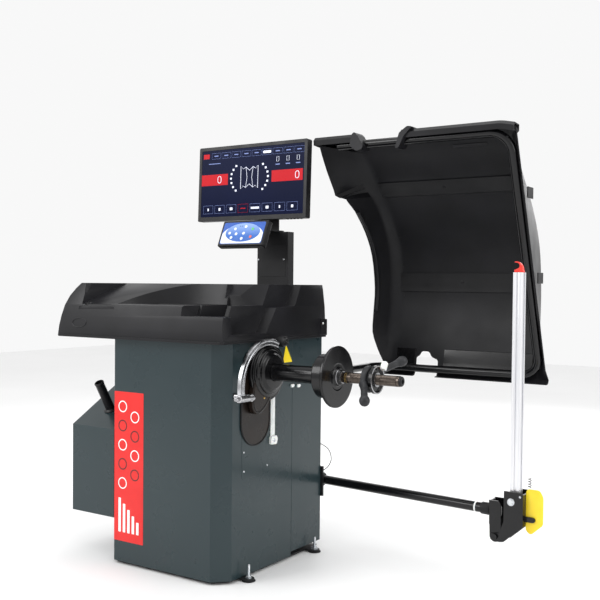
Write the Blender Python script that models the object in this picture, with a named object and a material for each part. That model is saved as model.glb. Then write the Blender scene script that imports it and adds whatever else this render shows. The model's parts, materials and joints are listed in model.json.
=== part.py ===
"""Wheel balancer: cabinet, weight tray, spindle with quick nut, distance gauge,
wheel guard, width gauge and monitor, each sub-part as a named object.

Lengths are metres, +Z is up, +X runs along the spindle away from the cabinet and
+Y runs to the back. Every shape is drawn from a datum at the cabinet's front
right corner on the floor; place_all() then moves it to the middle of the base.
"""
import math

import bmesh
import bpy
from mathutils import Matrix, Vector

# ---------------------------------------------------------------- driving dimensions
ORIGIN = Vector((0.064, 0.494, 0.0))     # middle of the whole object's box, on the floor
GAP = 0.0003                             # air between pieces that touch
SHEET = 0.0025                           # cabinet sheet steel

CAB_WIDTH = 0.555
CAB_DEPTH = 0.6215
CAB_SEAM = 0.417                         # where the front shell meets the rear shell
CAB_CHAMFER = 0.052
FRONT_BOTTOM = 0.0118
REAR_BOTTOM = 0.0270
CAB_TOP = 0.8255

SPIN_Y = 0.230                           # spindle axis
SPIN_Z = 0.7187
DISC_FACE = 0.311                        # wheel side of the flange disc
DISC_RADIUS = 0.105
SHAFT_RADIUS = 0.018
SHAFT_END = 0.545

TRAY_LOW = 0.829
TRAY_RIM = 1.028
TRAY_SKIN = 0.0035

HOOD_PIVOT = Vector((0.0, 0.665, 0.690))
HOOD_TUBE = 0.016
HOOD_LEFT = 0.053
HOOD_RIGHT = 0.757
HOOD_BOTTOM = Vector((0.0, 0.960, 0.693))
HOOD_TOP = Vector((0.0, 0.610, 1.560))

GAUGE_Y = 0.066                          # sliding rod of the distance gauge
GAUGE_Z = 0.645
ARM_PLANE = 0.055                        # side of the arm that faces the cabinet
ARM_CENTRE = (0.165, 0.680)
ARM_RADIUS = 0.160
ARM_WIDTH = 0.022
ARM_DEPTH = 0.016

TUBE_ROOT = Vector((-0.085, 0.6598, 0.2585))   # width gauge's cross tube
TUBE_TIP = Vector((0.7217, 0.5860, 0.2585))
TUBE_RADIUS = 0.0175
TUBE_WALL = 0.0025
LINK_PIN = Vector((0.748, 0.5750, 0.1770))
COLUMN = Vector((0.8120, 0.5750, 0.0))
COLUMN_SIDE = 0.033
COLUMN_LOW = 0.275
COLUMN_HIGH = 1.0765
BOLT = Vector((0.8040, 0.5750, 0.3020))

POST_LEFT = -0.316
POST_RIGHT = -0.165
POST_TOP = 1.240
HEAD_PIVOT = Vector((-0.240, 0.645, POST_TOP))
TILT_PIVOT = Vector((-0.2995, 0.6315, 1.436))
SCREEN_CENTRE = -0.2995
SCREEN_WIDTH = 0.537
SCREEN_LOW = 1.283
SCREEN_HEIGHT = 0.307
SCREEN_FRONT = 0.550
SCREEN_LEAN = math.radians(2.0)

MOTOR_Y = 0.300
MOTOR_Z = 0.200
PULLEY_X = -0.450
PULLEY_WIDTH = 0.016
SPINDLE_PULLEY = 0.088
MOTOR_PULLEY = 0.022

ROCKER = Vector((-0.460, 0.621, 0.134))

STUDS = {"fr": (0.024, 0.120), "rr": (0.024, 0.545), "l": (-0.579, 0.330)}


# ---------------------------------------------------------------- small tools
def clear_scene():
    for obj in list(bpy.data.objects):
        bpy.data.objects.remove(obj, do_unlink=True)


def material(name, colour, roughness, metallic=0.0):
    """Principled material; colour is linear RGB."""
    found = bpy.data.materials.get(name)
    if found:
        return found
    made = bpy.data.materials.new(name)
    made.use_nodes = True
    shader = made.node_tree.nodes["Principled BSDF"]
    shader.inputs["Base Color"].default_value = (*colour, 1.0)
    shader.inputs["Roughness"].default_value = roughness
    shader.inputs["Metallic"].default_value = metallic
    made.diffuse_color = (*colour, 1.0)
    return made


def paint_green():
    return material("cabinet_paint", (0.020, 0.045, 0.047), 0.28)


def black_paint():
    return material("black_paint", (0.012, 0.012, 0.013), 0.30)


def black_plastic():
    return material("black_plastic", (0.022, 0.022, 0.024), 0.50)


def black_rubber():
    return material("black_rubber", (0.015, 0.015, 0.015), 0.85)


def steel():
    return material("machined_steel", (0.52, 0.52, 0.54), 0.30, 1.0)


def black_steel():
    return material("black_steel", (0.03, 0.03, 0.032), 0.25, 0.6)


def zinc():
    return material("zinc_plate", (0.62, 0.64, 0.66), 0.32, 1.0)


def cast_iron():
    return material("cast_iron", (0.07, 0.07, 0.075), 0.62, 0.5)


def aluminium():
    return material("anodised_aluminium", (0.76, 0.77, 0.79), 0.34, 1.0)


def white_plastic():
    return material("white_plastic", (0.78, 0.78, 0.76), 0.40)


def keep(name, bm, surface, smooth=True):
    """Turn a bmesh into a named object."""
    bmesh.ops.recalc_face_normals(bm, faces=bm.faces)
    mesh = bpy.data.meshes.new(name)
    bm.to_mesh(mesh)
    bm.free()
    mesh.materials.append(surface)
    if smooth:
        mesh.shade_smooth()
        mesh.set_sharp_from_angle(angle=math.radians(32))
    obj = bpy.data.objects.new(name, mesh)
    bpy.context.scene.collection.objects.link(obj)
    return obj


def bake(obj):
    """Replace an object's mesh by what its modifiers make of it."""
    graph = bpy.context.evaluated_depsgraph_get()
    mesh = bpy.data.meshes.new_from_object(obj.evaluated_get(graph))
    obj.modifiers.clear()
    obj.data = mesh
    mesh.shade_smooth()
    mesh.set_sharp_from_angle(angle=math.radians(32))
    return obj


def combine(obj, others, operation):
    """Boolean each of the others into the object, and remove them."""
    for other in others:
        modifier = obj.modifiers.new(operation.lower(), "BOOLEAN")
        modifier.operation = operation
        modifier.solver = "EXACT"
        modifier.object = other
        bake(obj)
        bpy.data.objects.remove(other, do_unlink=True)
    return obj


def add_box(bm, low, high):
    made = bmesh.ops.create_cube(bm, size=1.0)
    low, high = Vector(low), Vector(high)
    size = high - low
    shift = Matrix.Translation((low + high) / 2)
    bmesh.ops.transform(bm, matrix=shift @ Matrix.Diagonal((*size, 1.0)), verts=made["verts"])
    return made["verts"]


def block(name, low, high, surface, edge=0.0):
    bm = bmesh.new()
    add_box(bm, low, high)
    if edge:
        bmesh.ops.bevel(bm, geom=list(bm.edges), offset=edge, segments=1, affect="EDGES")
    return keep(name, bm, surface)


AXES = {"X": (Vector((0, 1, 0)), Vector((0, 0, 1)), Vector((1, 0, 0))),
        "Y": (Vector((1, 0, 0)), Vector((0, 0, 1)), Vector((0, 1, 0))),
        "Z": (Vector((1, 0, 0)), Vector((0, 1, 0)), Vector((0, 0, 1)))}


def extrude(name, outline, axis, low, high, surface):
    """Push a flat outline along an axis. Outline pairs are (y,z), (x,z) or (x,y)."""
    first, second, along = AXES[axis]
    bm = bmesh.new()
    verts = [bm.verts.new(first * a + second * b + along * low) for a, b in outline]
    face = bm.faces.new(verts)
    pushed = bmesh.ops.extrude_face_region(bm, geom=[face])
    top = [item for item in pushed["geom"] if isinstance(item, bmesh.types.BMVert)]
    bmesh.ops.translate(bm, verts=top, vec=along * (high - low))
    return keep(name, bm, surface)


def turned(name, profile, centre, direction, surface, segments=32, ring=False):
    """Turn (height, radius) pairs about a line; a ring's profile closes on itself."""
    turn = Vector((0, 0, 1)).rotation_difference(Vector(direction)).to_matrix().to_4x4()
    place = Matrix.Translation(Vector(centre)) @ turn
    bm = bmesh.new()
    rows = []
    for height, radius in profile:
        if radius == 0.0:
            rows.append([bm.verts.new(place @ Vector((0, 0, height)))])
            continue
        row = []
        for step in range(segments):
            angle = 2 * math.pi * step / segments
            spot = Vector((radius * math.cos(angle), radius * math.sin(angle), height))
            row.append(bm.verts.new(place @ spot))
        rows.append(row)
    pairs = list(zip(rows, rows[1:]))
    if ring:
        pairs.append((rows[-1], rows[0]))
    for low, high in pairs:
        for step in range(segments):
            after = (step + 1) % segments
            if len(low) == 1:
                bm.faces.new((low[0], high[after], high[step]))
            elif len(high) == 1:
                bm.faces.new((low[step], low[after], high[0]))
            else:
                bm.faces.new((low[step], low[after], high[after], high[step]))
    return keep(name, bm, surface)


def rod(name, start, end, radius, surface, segments=24):
    start, end = Vector(start), Vector(end)
    length = (end - start).length
    profile = [(0, 0.0), (0, radius), (length, radius), (length, 0.0)]
    return turned(name, profile, start, end - start, surface, segments)


def pipe(name, start, end, inner, outer, surface, segments=24):
    start, end = Vector(start), Vector(end)
    length = (end - start).length
    profile = [(0, inner), (0, outer), (length, outer), (length, inner)]
    return turned(name, profile, start, end - start, surface, segments, ring=True)


def arc(centre, radius, start, end, steps):
    """Points on a circle, angles in degrees, both ends included."""
    points = []
    for step in range(steps + 1):
        angle = math.radians(start + (end - start) * step / steps)
        points.append((centre[0] + radius * math.cos(angle), centre[1] + radius * math.sin(angle)))
    return points


def rounded_path(corners, radius, steps=6):
    """A path through corners, each inner one rounded to the radius."""
    points = [corners[0]]
    for before, corner, after in zip(corners, corners[1:], corners[2:]):
        inward = (before - corner).normalized()
        outward = (after - corner).normalized()
        half = inward.angle(outward) / 2
        reach = radius / math.tan(half)
        centre = corner + (inward + outward).normalized() * (radius / math.sin(half))
        first = corner + inward * reach - centre
        last = corner + outward * reach - centre
        swing = first.angle(last)
        for step in range(steps + 1):
            share = step / steps
            weight = math.sin(swing)
            spot = (first * math.sin((1 - share) * swing) + last * math.sin(share * swing)) / weight
            points.append(centre + spot)
    points.append(corners[-1])
    return points


def smooth_path(corners, steps):
    """Catmull-Rom points through the corners."""
    ends = [corners[0] * 2 - corners[1], *corners, corners[-1] * 2 - corners[-2]]
    points = [corners[0]]
    for a, b, c, d in zip(ends, ends[1:], ends[2:], ends[3:]):
        for step in range(1, steps + 1):
            t = step / steps
            curve = 2 * b + (c - a) * t + (2 * a - 5 * b + 4 * c - d) * t ** 2
            curve += (3 * b - a - 3 * c + d) * t ** 3
            points.append(curve / 2)
    return points


def tube(name, points, radius, surface, sides=3):
    """A closed round tube along points, as a bevelled curve."""
    curve = bpy.data.curves.new(name, "CURVE")
    curve.dimensions = "3D"
    curve.bevel_depth = radius
    curve.bevel_resolution = sides
    curve.use_fill_caps = True
    spline = curve.splines.new("POLY")
    spline.points.add(len(points) - 1)
    for spot, point in zip(spline.points, points):
        spot.co = (*point, 1.0)
    curve.materials.append(surface)
    obj = bpy.data.objects.new(name, curve)
    bpy.context.scene.collection.objects.link(obj)
    return obj


def as_mesh(curve):
    """Swap a curve object for a mesh object of the same name and shape."""
    graph = bpy.context.evaluated_depsgraph_get()
    mesh = bpy.data.meshes.new_from_object(curve.evaluated_get(graph))
    name = curve.name
    bpy.data.objects.remove(curve, do_unlink=True)
    obj = bpy.data.objects.new(name, mesh)
    bpy.context.scene.collection.objects.link(obj)
    return obj


# ---------------------------------------------------------------- base and cabinet
def base_plate():
    low, high = 0.0053, 0.0113
    left, right, front, back = -CAB_WIDTH + 0.008, -0.008, 0.010, CAB_DEPTH - 0.012
    cut = CAB_CHAMFER
    outline = [(left + cut, front), (right - cut, front), (right, front + cut), (right, back),
               (left, back), (left, front + cut)]
    plate = extrude("base_plate", outline, "Z", low, high, black_paint())
    ears = []
    holes = []
    for x, y in STUDS.values():
        inner = -0.03 if x > 0 else -CAB_WIDTH + 0.03
        left, right = min(inner, x), max(inner, x)
        ears.append(block("ear", (left, y - 0.020, low), (right, y + 0.020, high), black_paint()))
        ears.append(rod("ear_end", (x, y, low), (x, y, high), 0.020, black_paint(), 20))
        holes.append(rod("hole", (x, y, low - 0.01), (x, y, high + 0.01), 0.0056, black_paint(), 12))
    combine(plate, ears, "UNION")
    combine(plate, holes, "DIFFERENCE")


def feet():
    for key, (x, y) in STUDS.items():
        turned("foot_pad_" + key, [(0, 0.0), (0, 0.023), (0.004, 0.024), (0.005, 0.023), (0.005, 0.0)],
               (x, y, 0), (0, 0, 1), black_rubber(), 20)
        stud = rod("anchor_stud_" + key, (x, y, 0.0056), (x, y, 0.058), 0.005, zinc(), 12)
        nut = rod("nut", (x, y, 0.0116), (x, y, 0.0196), 0.0098, zinc(), 6)
        combine(stud, [nut], "UNION")


def shell_outline(front):
    """Closed outline of the front or the rear sheet, seen from above."""
    left, wall, cut = -CAB_WIDTH, SHEET, CAB_CHAMFER
    inner_cut = cut + wall * (math.sqrt(2) - 1) - wall
    if front:
        seam = CAB_SEAM - 0.0005
        outer = [(left, seam), (left, cut), (left + cut, 0), (-cut, 0), (0, cut), (0, seam)]
        inner = [(-wall, seam), (-wall, wall + inner_cut), (-wall - inner_cut, wall),
                 (left + wall + inner_cut, wall), (left + wall, wall + inner_cut), (left + wall, seam)]
        return outer + inner
    seam, back = CAB_SEAM + 0.0005, CAB_DEPTH
    outer = [(0, seam), (0, back), (left, back), (left, seam)]
    inner = [(left + wall, seam), (left + wall, back - wall), (-wall, back - wall), (-wall, seam)]
    return outer + inner


def cabinet():
    front = extrude("cabinet_front", shell_outline(True), "Z", FRONT_BOTTOM, CAB_TOP, paint_green())
    holes = [rod("hole", (-0.02, SPIN_Y, SPIN_Z), (0.02, SPIN_Y, SPIN_Z), 0.036, paint_green()),
             rod("hole", (-0.02, GAUGE_Y, GAUGE_Z), (0.02, GAUGE_Y, GAUGE_Z), 0.0125, paint_green(), 20)]
    combine(front, holes, "DIFFERENCE")
    rear = extrude("cabinet_rear", shell_outline(False), "Z", REAR_BOTTOM, CAB_TOP, paint_green())
    back = CAB_DEPTH
    holes = [block("hole", (-0.502, back - 0.01, 0.120), (-0.448, back + 0.01, 0.148), paint_green()),
             rod("hole", (-0.035, back - 0.01, 0.405), (-0.035, back + 0.01, 0.405), 0.004, paint_green(), 12)]
    combine(rear, holes, "DIFFERENCE")
    block("cabinet_top", (-CAB_WIDTH + 0.001, 0.003, CAB_TOP + GAP), (-0.001, CAB_DEPTH - 0.001, 0.8287),
          paint_green())


def side_box():
    """Storage box on the left side, open towards the cabinet wall."""
    right = -CAB_WIDTH - GAP
    left, front, back = -0.777, 0.050, 0.330
    low, high = 0.148, 0.481
    rise = (back - front) * math.tan(math.radians(30))
    wall = SHEET
    outside = [(front, low), (back, low), (back, high + rise), (front, high)]
    drop = wall / math.cos(math.radians(30))
    slope = math.tan(math.radians(30))
    inside = [(front + wall, low + wall), (back - wall, low + wall),
              (back - wall, high + rise - wall * slope - drop), (front + wall, high + wall * slope - drop)]
    box = extrude("side_box", outside, "X", left, right, paint_green())
    hollow = extrude("hollow", inside, "X", left + wall, right + 0.02, paint_green())
    combine(box, [hollow], "DIFFERENCE")


def cone_peg():
    """Open tube that stands square on the storage box's sloping lid."""
    slope = math.radians(30)
    foot = Vector((-0.668, 0.145, 0.481 + (0.145 - 0.050) * math.tan(slope)))
    out = Vector((0, -math.sin(slope), math.cos(slope)))
    profile = [(GAP, 0.0145), (GAP, 0.026), (0.005, 0.026), (0.007, 0.0175), (0.128, 0.0175),
               (0.128, 0.0145)]
    turned("cone_peg", profile, foot, out, black_plastic(), 20, ring=True)


# ---------------------------------------------------------------- weight tray
def tapered(name, low, high, draft, surface):
    """A box that is wider at its top by the draft on every side."""
    bm = bmesh.new()
    verts = add_box(bm, low, high)
    middle = (Vector(low) + Vector(high)) / 2
    for vert in verts:
        if vert.co.z > middle.z:
            vert.co.x += math.copysign(draft, vert.co.x - middle.x)
            vert.co.y += math.copysign(draft, vert.co.y - middle.y)
    return keep(name, bm, surface)


def tray():
    """Vacuum-formed tray: a block, its low front and side, its pockets, then its skin."""
    skin = black_plastic()
    bm = bmesh.new()
    bottom = [(-0.765, -0.038), (0.022, -0.038), (0.022, 0.617), (-0.765, 0.617)]
    middle = [(-0.745, -0.020), (0.016, -0.020), (0.014, 0.616), (-0.745, 0.616)]
    top = [(-0.690, 0.012), (0.004, 0.012), (0.004, 0.614), (-0.690, 0.614)]
    rings = []
    for points, z in ((bottom, TRAY_LOW), (middle, 0.945), (top, TRAY_RIM)):
        rings.append([bm.verts.new((x, y, z)) for x, y in points])
    bm.faces.new(reversed(rings[0]))
    bm.faces.new(rings[-1])
    for low, high in zip(rings, rings[1:]):
        for step in range(4):
            after = (step + 1) % 4
            bm.faces.new((low[step], low[after], high[after], high[step]))
    body = keep("weight_tray", bm, skin, smooth=False)
    above = TRAY_RIM + 0.05
    front_step = [(-0.08, 0.953), (0.030, 0.953), (0.200, above), (-0.08, above)]
    middle_step = [(-0.08, 0.917), (0.050, 0.917), (0.200, 0.960), (0.320, above), (-0.08, above)]
    side_step = [(-0.08, 0.868), (0.240, 0.868), (0.420, 0.945), (0.463, above), (-0.08, above)]
    cuts = [extrude("cut", front_step, "X", -0.500, 0.10, skin),
            extrude("cut", middle_step, "X", -0.187, 0.11, skin),
            extrude("cut", side_step, "X", -0.020, 0.12, skin),
            tapered("cut", (-0.640, 0.060, 0.872), (-0.530, 0.560, above), 0.018, skin),
            tapered("cut", (-0.480, 0.030, 0.862), (-0.215, 0.290, above), 0.016, skin),
            tapered("cut", (-0.480, 0.350, 0.905), (-0.215, 0.560, above), 0.022, skin),
            tapered("cut", (-0.162, 0.012, 0.846), (-0.044, 0.225, above), 0.008, skin),
            tapered("cut", (-0.160, 0.290, 0.900), (-0.050, 0.560, above), 0.022, skin),
            turned("cut", [(0, 0.0), (0.125, 0.036), (0.15, 0.036), (0.15, 0.0)], (-0.625, -0.012, 0.905),
                   (0, 0.12, 1), skin, 16)]
    combine(body, cuts, "DIFFERENCE")
    bm = bmesh.new()
    bm.from_mesh(body.data)
    under = [face for face in bm.faces if face.calc_center_median().z < TRAY_LOW + 0.0001]
    bmesh.ops.delete(bm, geom=under, context="FACES")
    bmesh.ops.remove_doubles(bm, verts=bm.verts, dist=0.0002)
    bm.to_mesh(body.data)
    bm.free()
    thick = body.modifiers.new("skin", "SOLIDIFY")
    thick.thickness = TRAY_SKIN
    thick.offset = -1.0
    thick.use_even_offset = True
    bake(body)
    for vert in body.data.vertices:
        vert.co.z = max(vert.co.z, TRAY_LOW)


# ---------------------------------------------------------------- right side wall
def side_cover():
    """Black slot-shaped cover plate with a raised rim."""
    middle, radius = 0.182, 0.0865
    high, low = 0.722, 0.5465
    edge = arc((middle, high), radius, 0, 180, 12) + arc((middle, low), radius, 180, 360, 12)
    inside = radius - 0.005
    inner_edge = arc((middle, high), inside, 0, 180, 12) + arc((middle, low), inside, 180, 360, 12)
    plate = extrude("side_cover", edge, "X", GAP, 0.0065, black_plastic())
    dish = extrude("dish", inner_edge, "X", 0.0035, 0.02, black_plastic())
    hole = rod("hole", (-0.01, SPIN_Y, SPIN_Z), (0.03, SPIN_Y, SPIN_Z), 0.036, black_plastic())
    combine(plate, [dish, hole], "DIFFERENCE")


def spindle_boss():
    """Stepped guard ring round the spindle, with a teardrop lobe below it."""
    start = 0.0068
    steps = [(0.0, 0.0308), (0.0, 0.098), (0.012, 0.104), (0.016, 0.103), (0.016, 0.090),
             (0.024, 0.089), (0.026, 0.079), (0.034, 0.077), (0.036, 0.068), (0.044, 0.060),
             (0.046, 0.0308)]
    ring = turned("spindle_boss", steps, (start, SPIN_Y, SPIN_Z), (1, 0, 0), black_paint(), 32, ring=True)
    tip = (0.200, 0.598)
    lobe = arc(tip, 0.030, 200, 330, 8) + [(0.290, 0.700), (0.150, 0.700)]
    drop = extrude("lobe", lobe, "X", start, start + 0.022, black_paint())
    bore = rod("bore", (-0.01, SPIN_Y, SPIN_Z), (0.1, SPIN_Y, SPIN_Z), 0.0308, black_paint(), 32)
    combine(drop, [bore], "DIFFERENCE")
    combine(ring, [drop], "UNION")


def holder_strip():
    """White plastic strip with a widened lower end."""
    strip = block("holder_strip", (GAP, 0.2725, 0.470), (0.0060, 0.2985, 0.662), white_plastic())
    foot = block("foot", (GAP, 0.2700, 0.452), (0.0120, 0.3040, 0.478), white_plastic())
    combine(strip, [foot], "UNION")


# ---------------------------------------------------------------- spindle and drive
def bearing_housing():
    """Cast housing with a cradle foot inside and the plain nose that shows outside."""
    left, nose = -0.260, 0.2465
    outer = [(left, 0.0262), (left, 0.048), (-0.030, 0.048), (-0.024, 0.030), (nose, 0.030), (nose, 0.0262)]
    inner = [(nose - 0.016, 0.0262), (nose - 0.016, 0.020), (left + 0.016, 0.020), (left + 0.016, 0.0262)]
    body = turned("bearing_housing", outer + inner, (0, SPIN_Y, SPIN_Z), (1, 0, 0), cast_iron(), 28,
                  ring=True)
    foot = block("foot", (-0.230, SPIN_Y - 0.045, 0.6553), (-0.070, SPIN_Y + 0.045, 0.690), cast_iron())
    combine(body, [foot], "UNION")


def bearings():
    for name, x in (("bearing_front", 0.2310), ("bearing_rear", -0.2595)):
        pipe(name, (x, SPIN_Y, SPIN_Z), (x + 0.015, SPIN_Y, SPIN_Z), 0.0128, 0.0258, steel())


def force_sensors():
    for name, x in (("force_sensor_left", -0.195), ("force_sensor_right", -0.105)):
        rod(name, (x, SPIN_Y, 0.6403), (x, SPIN_Y, 0.6550), 0.016, steel(), 20)


def spindle_column():
    """Welded box column from the base plate to the force sensors, open below."""
    column = block("spindle_column", (-0.245, 0.165, 0.0116), (-0.055, 0.295, 0.640), black_paint())
    hollow = block("hollow", (-0.241, 0.169, -0.01), (-0.059, 0.291, 0.632), black_paint())
    combine(column, [hollow], "DIFFERENCE")


def spindle_shaft():
    thread_start = 0.2500
    profile = [(-0.496, 0.0), (-0.496, 0.0125), (thread_start, 0.0125), (thread_start, SHAFT_RADIUS),
               (SHAFT_END, SHAFT_RADIUS), (SHAFT_END, 0.0)]
    turned("spindle_shaft", profile, (0, SPIN_Y, SPIN_Z), (1, 0, 0), steel(), 32)


def hub_flange():
    bore = SHAFT_RADIUS + GAP
    profile = [(0.2500, bore), (0.2475, 0.060), (0.2475, 0.072), (0.2505, 0.075), (0.292, 0.075),
               (0.299, 0.082), (0.299, DISC_RADIUS - 0.003), (0.302, DISC_RADIUS),
               (0.309, DISC_RADIUS), (DISC_FACE, DISC_RADIUS - 0.002), (DISC_FACE, 0.030),
               (0.318, 0.027), (0.328, 0.024), (0.328, bore)]
    turned("hub_flange", profile, (0, SPIN_Y, SPIN_Z), (1, 0, 0), black_steel(), 36, ring=True)


def end_cap():
    profile = [(0, 0.0), (0, 0.0165), (0.006, 0.0165), (0.008, 0.0145), (0.008, 0.0065),
               (0.003, 0.0065), (0.003, 0.0)]
    turned("end_cap", profile, (SHAFT_END + GAP, SPIN_Y, SPIN_Z), (1, 0, 0), black_plastic(), 24)


def spindle_pulley():
    half = PULLEY_WIDTH / 2
    rim = SPINDLE_PULLEY
    profile = [(-half, 0.0128), (-half, 0.026), (-0.003, 0.028), (-0.003, rim - 0.012), (-half, rim - 0.008),
               (-half, rim + 0.002), (-half + 0.002, rim), (half - 0.002, rim), (half, rim + 0.002),
               (half, rim - 0.008), (0.003, rim - 0.012), (0.003, 0.028), (half, 0.026), (half, 0.0128)]
    turned("spindle_pulley", profile, (PULLEY_X, SPIN_Y, SPIN_Z), (1, 0, 0), aluminium(), 28,
           ring=True)


def encoder_disc():
    left, right = -0.4900, -0.4885
    pipe("encoder_disc", (left, SPIN_Y, SPIN_Z), (right, SPIN_Y, SPIN_Z), 0.0128, 0.048, steel(), 32)


def motor():
    """Foot-mounted motor on the base plate."""
    right, left = -0.270, -0.420
    body = turned("motor", [(right, 0.0), (right, 0.050), (right - 0.006, 0.056), (left + 0.006, 0.056),
                            (left, 0.050), (left, 0.009), (left + 0.010, 0.009), (left + 0.010, 0.0)],
                  (0, MOTOR_Y, MOTOR_Z), (1, 0, 0), aluminium(), 28)
    foot = block("foot", (left + 0.03, MOTOR_Y - 0.050, 0.0116),
                 (right - 0.02, MOTOR_Y + 0.050, MOTOR_Z - 0.045), aluminium())
    hollow = block("hollow", (left + 0.036, MOTOR_Y - 0.090, 0.018),
                   (right - 0.026, MOTOR_Y + 0.090, MOTOR_Z - 0.060), aluminium())
    combine(foot, [hollow], "DIFFERENCE")
    combine(body, [foot], "UNION")


def motor_rotor():
    half = PULLEY_WIDTH / 2
    near = -0.4103
    profile = [(near, 0.0), (near, 0.007), (PULLEY_X + half, 0.007), (PULLEY_X + half, MOTOR_PULLEY + 0.002),
               (PULLEY_X + half - 0.002, MOTOR_PULLEY), (PULLEY_X - half + 0.002, MOTOR_PULLEY),
               (PULLEY_X - half, MOTOR_PULLEY + 0.002), (PULLEY_X - half, 0.0)]
    turned("motor_rotor", profile, (0, MOTOR_Y, MOTOR_Z), (1, 0, 0), steel(), 24)


def belt_outline(extra):
    """Loop round both pulleys, pushed out by the extra."""
    big, small = SPINDLE_PULLEY + extra, MOTOR_PULLEY + extra
    across = Vector((MOTOR_Y - SPIN_Y, MOTOR_Z - SPIN_Z))
    lean = math.degrees(math.atan2(across.y, across.x))
    open_angle = math.degrees(math.acos((big - small) / across.length))
    points = arc((SPIN_Y, SPIN_Z), big, lean + open_angle, lean + 360 - open_angle, 20)
    points += arc((MOTOR_Y, MOTOR_Z), small, lean - open_angle, lean + open_angle, 8)
    return points


def drive_belt():
    half = PULLEY_WIDTH / 2 - 0.0026
    rubber = black_rubber()
    belt = extrude("drive_belt", belt_outline(0.0030), "X", PULLEY_X - half, PULLEY_X + half, rubber)
    inside = extrude("inside", belt_outline(0.0004), "X", PULLEY_X - 0.02, PULLEY_X + 0.02, rubber)
    combine(belt, [inside], "DIFFERENCE")


def electronics():
    case = block("electronics_box", (-0.500, 0.500, 0.330), (-0.290, 0.617, 0.560), zinc())
    room = block("room", (-0.498, 0.502, 0.332), (-0.292, 0.650, 0.558), zinc())
    combine(case, [room], "DIFFERENCE")
    inlet = block("mains_inlet", (-0.5015, 0.6000, 0.1205), (-0.4755, 0.6240, 0.1475),
                  black_plastic())
    flange = block("flange", (-0.507, 0.6218, 0.115), (-0.443, 0.6250, 0.153), black_plastic())
    window = block("window", (-0.4715, 0.61, 0.123), (-0.4485, 0.63, 0.145), black_plastic())
    socket = block("socket", (-0.4985, 0.6080, 0.1245), (-0.4785, 0.63, 0.1435), black_plastic())
    combine(inlet, [flange], "UNION")
    combine(inlet, [window, socket], "DIFFERENCE")


def mains_rocker():
    """Rocker of the mains switch; it tips about its own middle."""
    half = 0.0095
    outline = [(-half, 0.006), (0.0, 0.0040), (half, 0.0085), (half, -0.006), (-half, -0.006)]
    points = [(ROCKER.y + out, ROCKER.z + along) for along, out in outline]
    extrude("mains_rocker", points, "X", ROCKER.x - half, ROCKER.x + half, black_plastic())


# ---------------------------------------------------------------- quick nut
def nut():
    """Quick nut: inner sleeve, body with two ball-ended handles, cup and release tab."""
    start, end = 0.417, 0.463
    axis = Vector((0, SPIN_Y, SPIN_Z))
    pipe("nut_core", axis + Vector((start + 0.001, 0, 0)), axis + Vector((end - 0.001, 0, 0)),
         SHAFT_RADIUS + GAP, 0.0240, steel())
    grip = material("nut_plastic", (0.035, 0.035, 0.037), 0.55)
    profile = [(start, 0.0243), (start, 0.040), (start + 0.004, 0.045), (0.436, 0.045), (0.440, 0.041),
               (0.440, 0.034), (0.4478, 0.034), (0.4478, 0.0243)]
    body = turned("nut_body", profile, axis, (1, 0, 0), grip, 32, ring=True)
    handles = []
    for side in (0, 180):
        angle = math.radians(23 + side)
        radial = Vector((0, math.cos(angle), math.sin(angle)))
        root = axis + Vector((0.4285, 0, 0)) + radial * 0.038
        ball = axis + Vector((0.486, 0, 0)) + radial * 0.141
        reach = (ball - root).length
        shape = [(0, 0.0), (0, 0.0135), (reach * 0.35, 0.0105), (reach - 0.022, 0.0125),
                 (reach - 0.013, 0.0155), (reach, 0.0170), (reach + 0.009, 0.0145),
                 (reach + 0.015, 0.008), (reach + 0.017, 0.0)]
        handles.append(turned("handle", shape, root, ball - root, grip, 16))
    combine(body, handles, "UNION")
    cup = [(0.4483, 0.0243), (0.4483, 0.043), (0.452, 0.047), (end, 0.047), (end, 0.042),
           (0.455, 0.038), (0.455, 0.0243)]
    turned("nut_cup", cup, axis, (1, 0, 0), black_paint(), 32, ring=True)
    tab_angle = math.radians(62)
    up = Vector((0, math.cos(tab_angle), math.sin(tab_angle)))
    side = Vector((0, math.sin(tab_angle), -math.cos(tab_angle)))
    bm = bmesh.new()
    corners = add_box(bm, (-0.5, -0.5, -0.5), (0.5, 0.5, 0.5))
    middle = axis + Vector((end + 0.0093, 0, 0)) + up * 0.0505
    for corner in corners:
        x, across, out = corner.co
        corner.co = middle + Vector((x * 0.018, 0, 0)) + side * (across * 0.017) + up * (out * 0.029)
    bmesh.ops.bevel(bm, geom=list(bm.edges), offset=0.0025, segments=1, affect="EDGES")
    keep("nut_release", bm, white_plastic())


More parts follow.
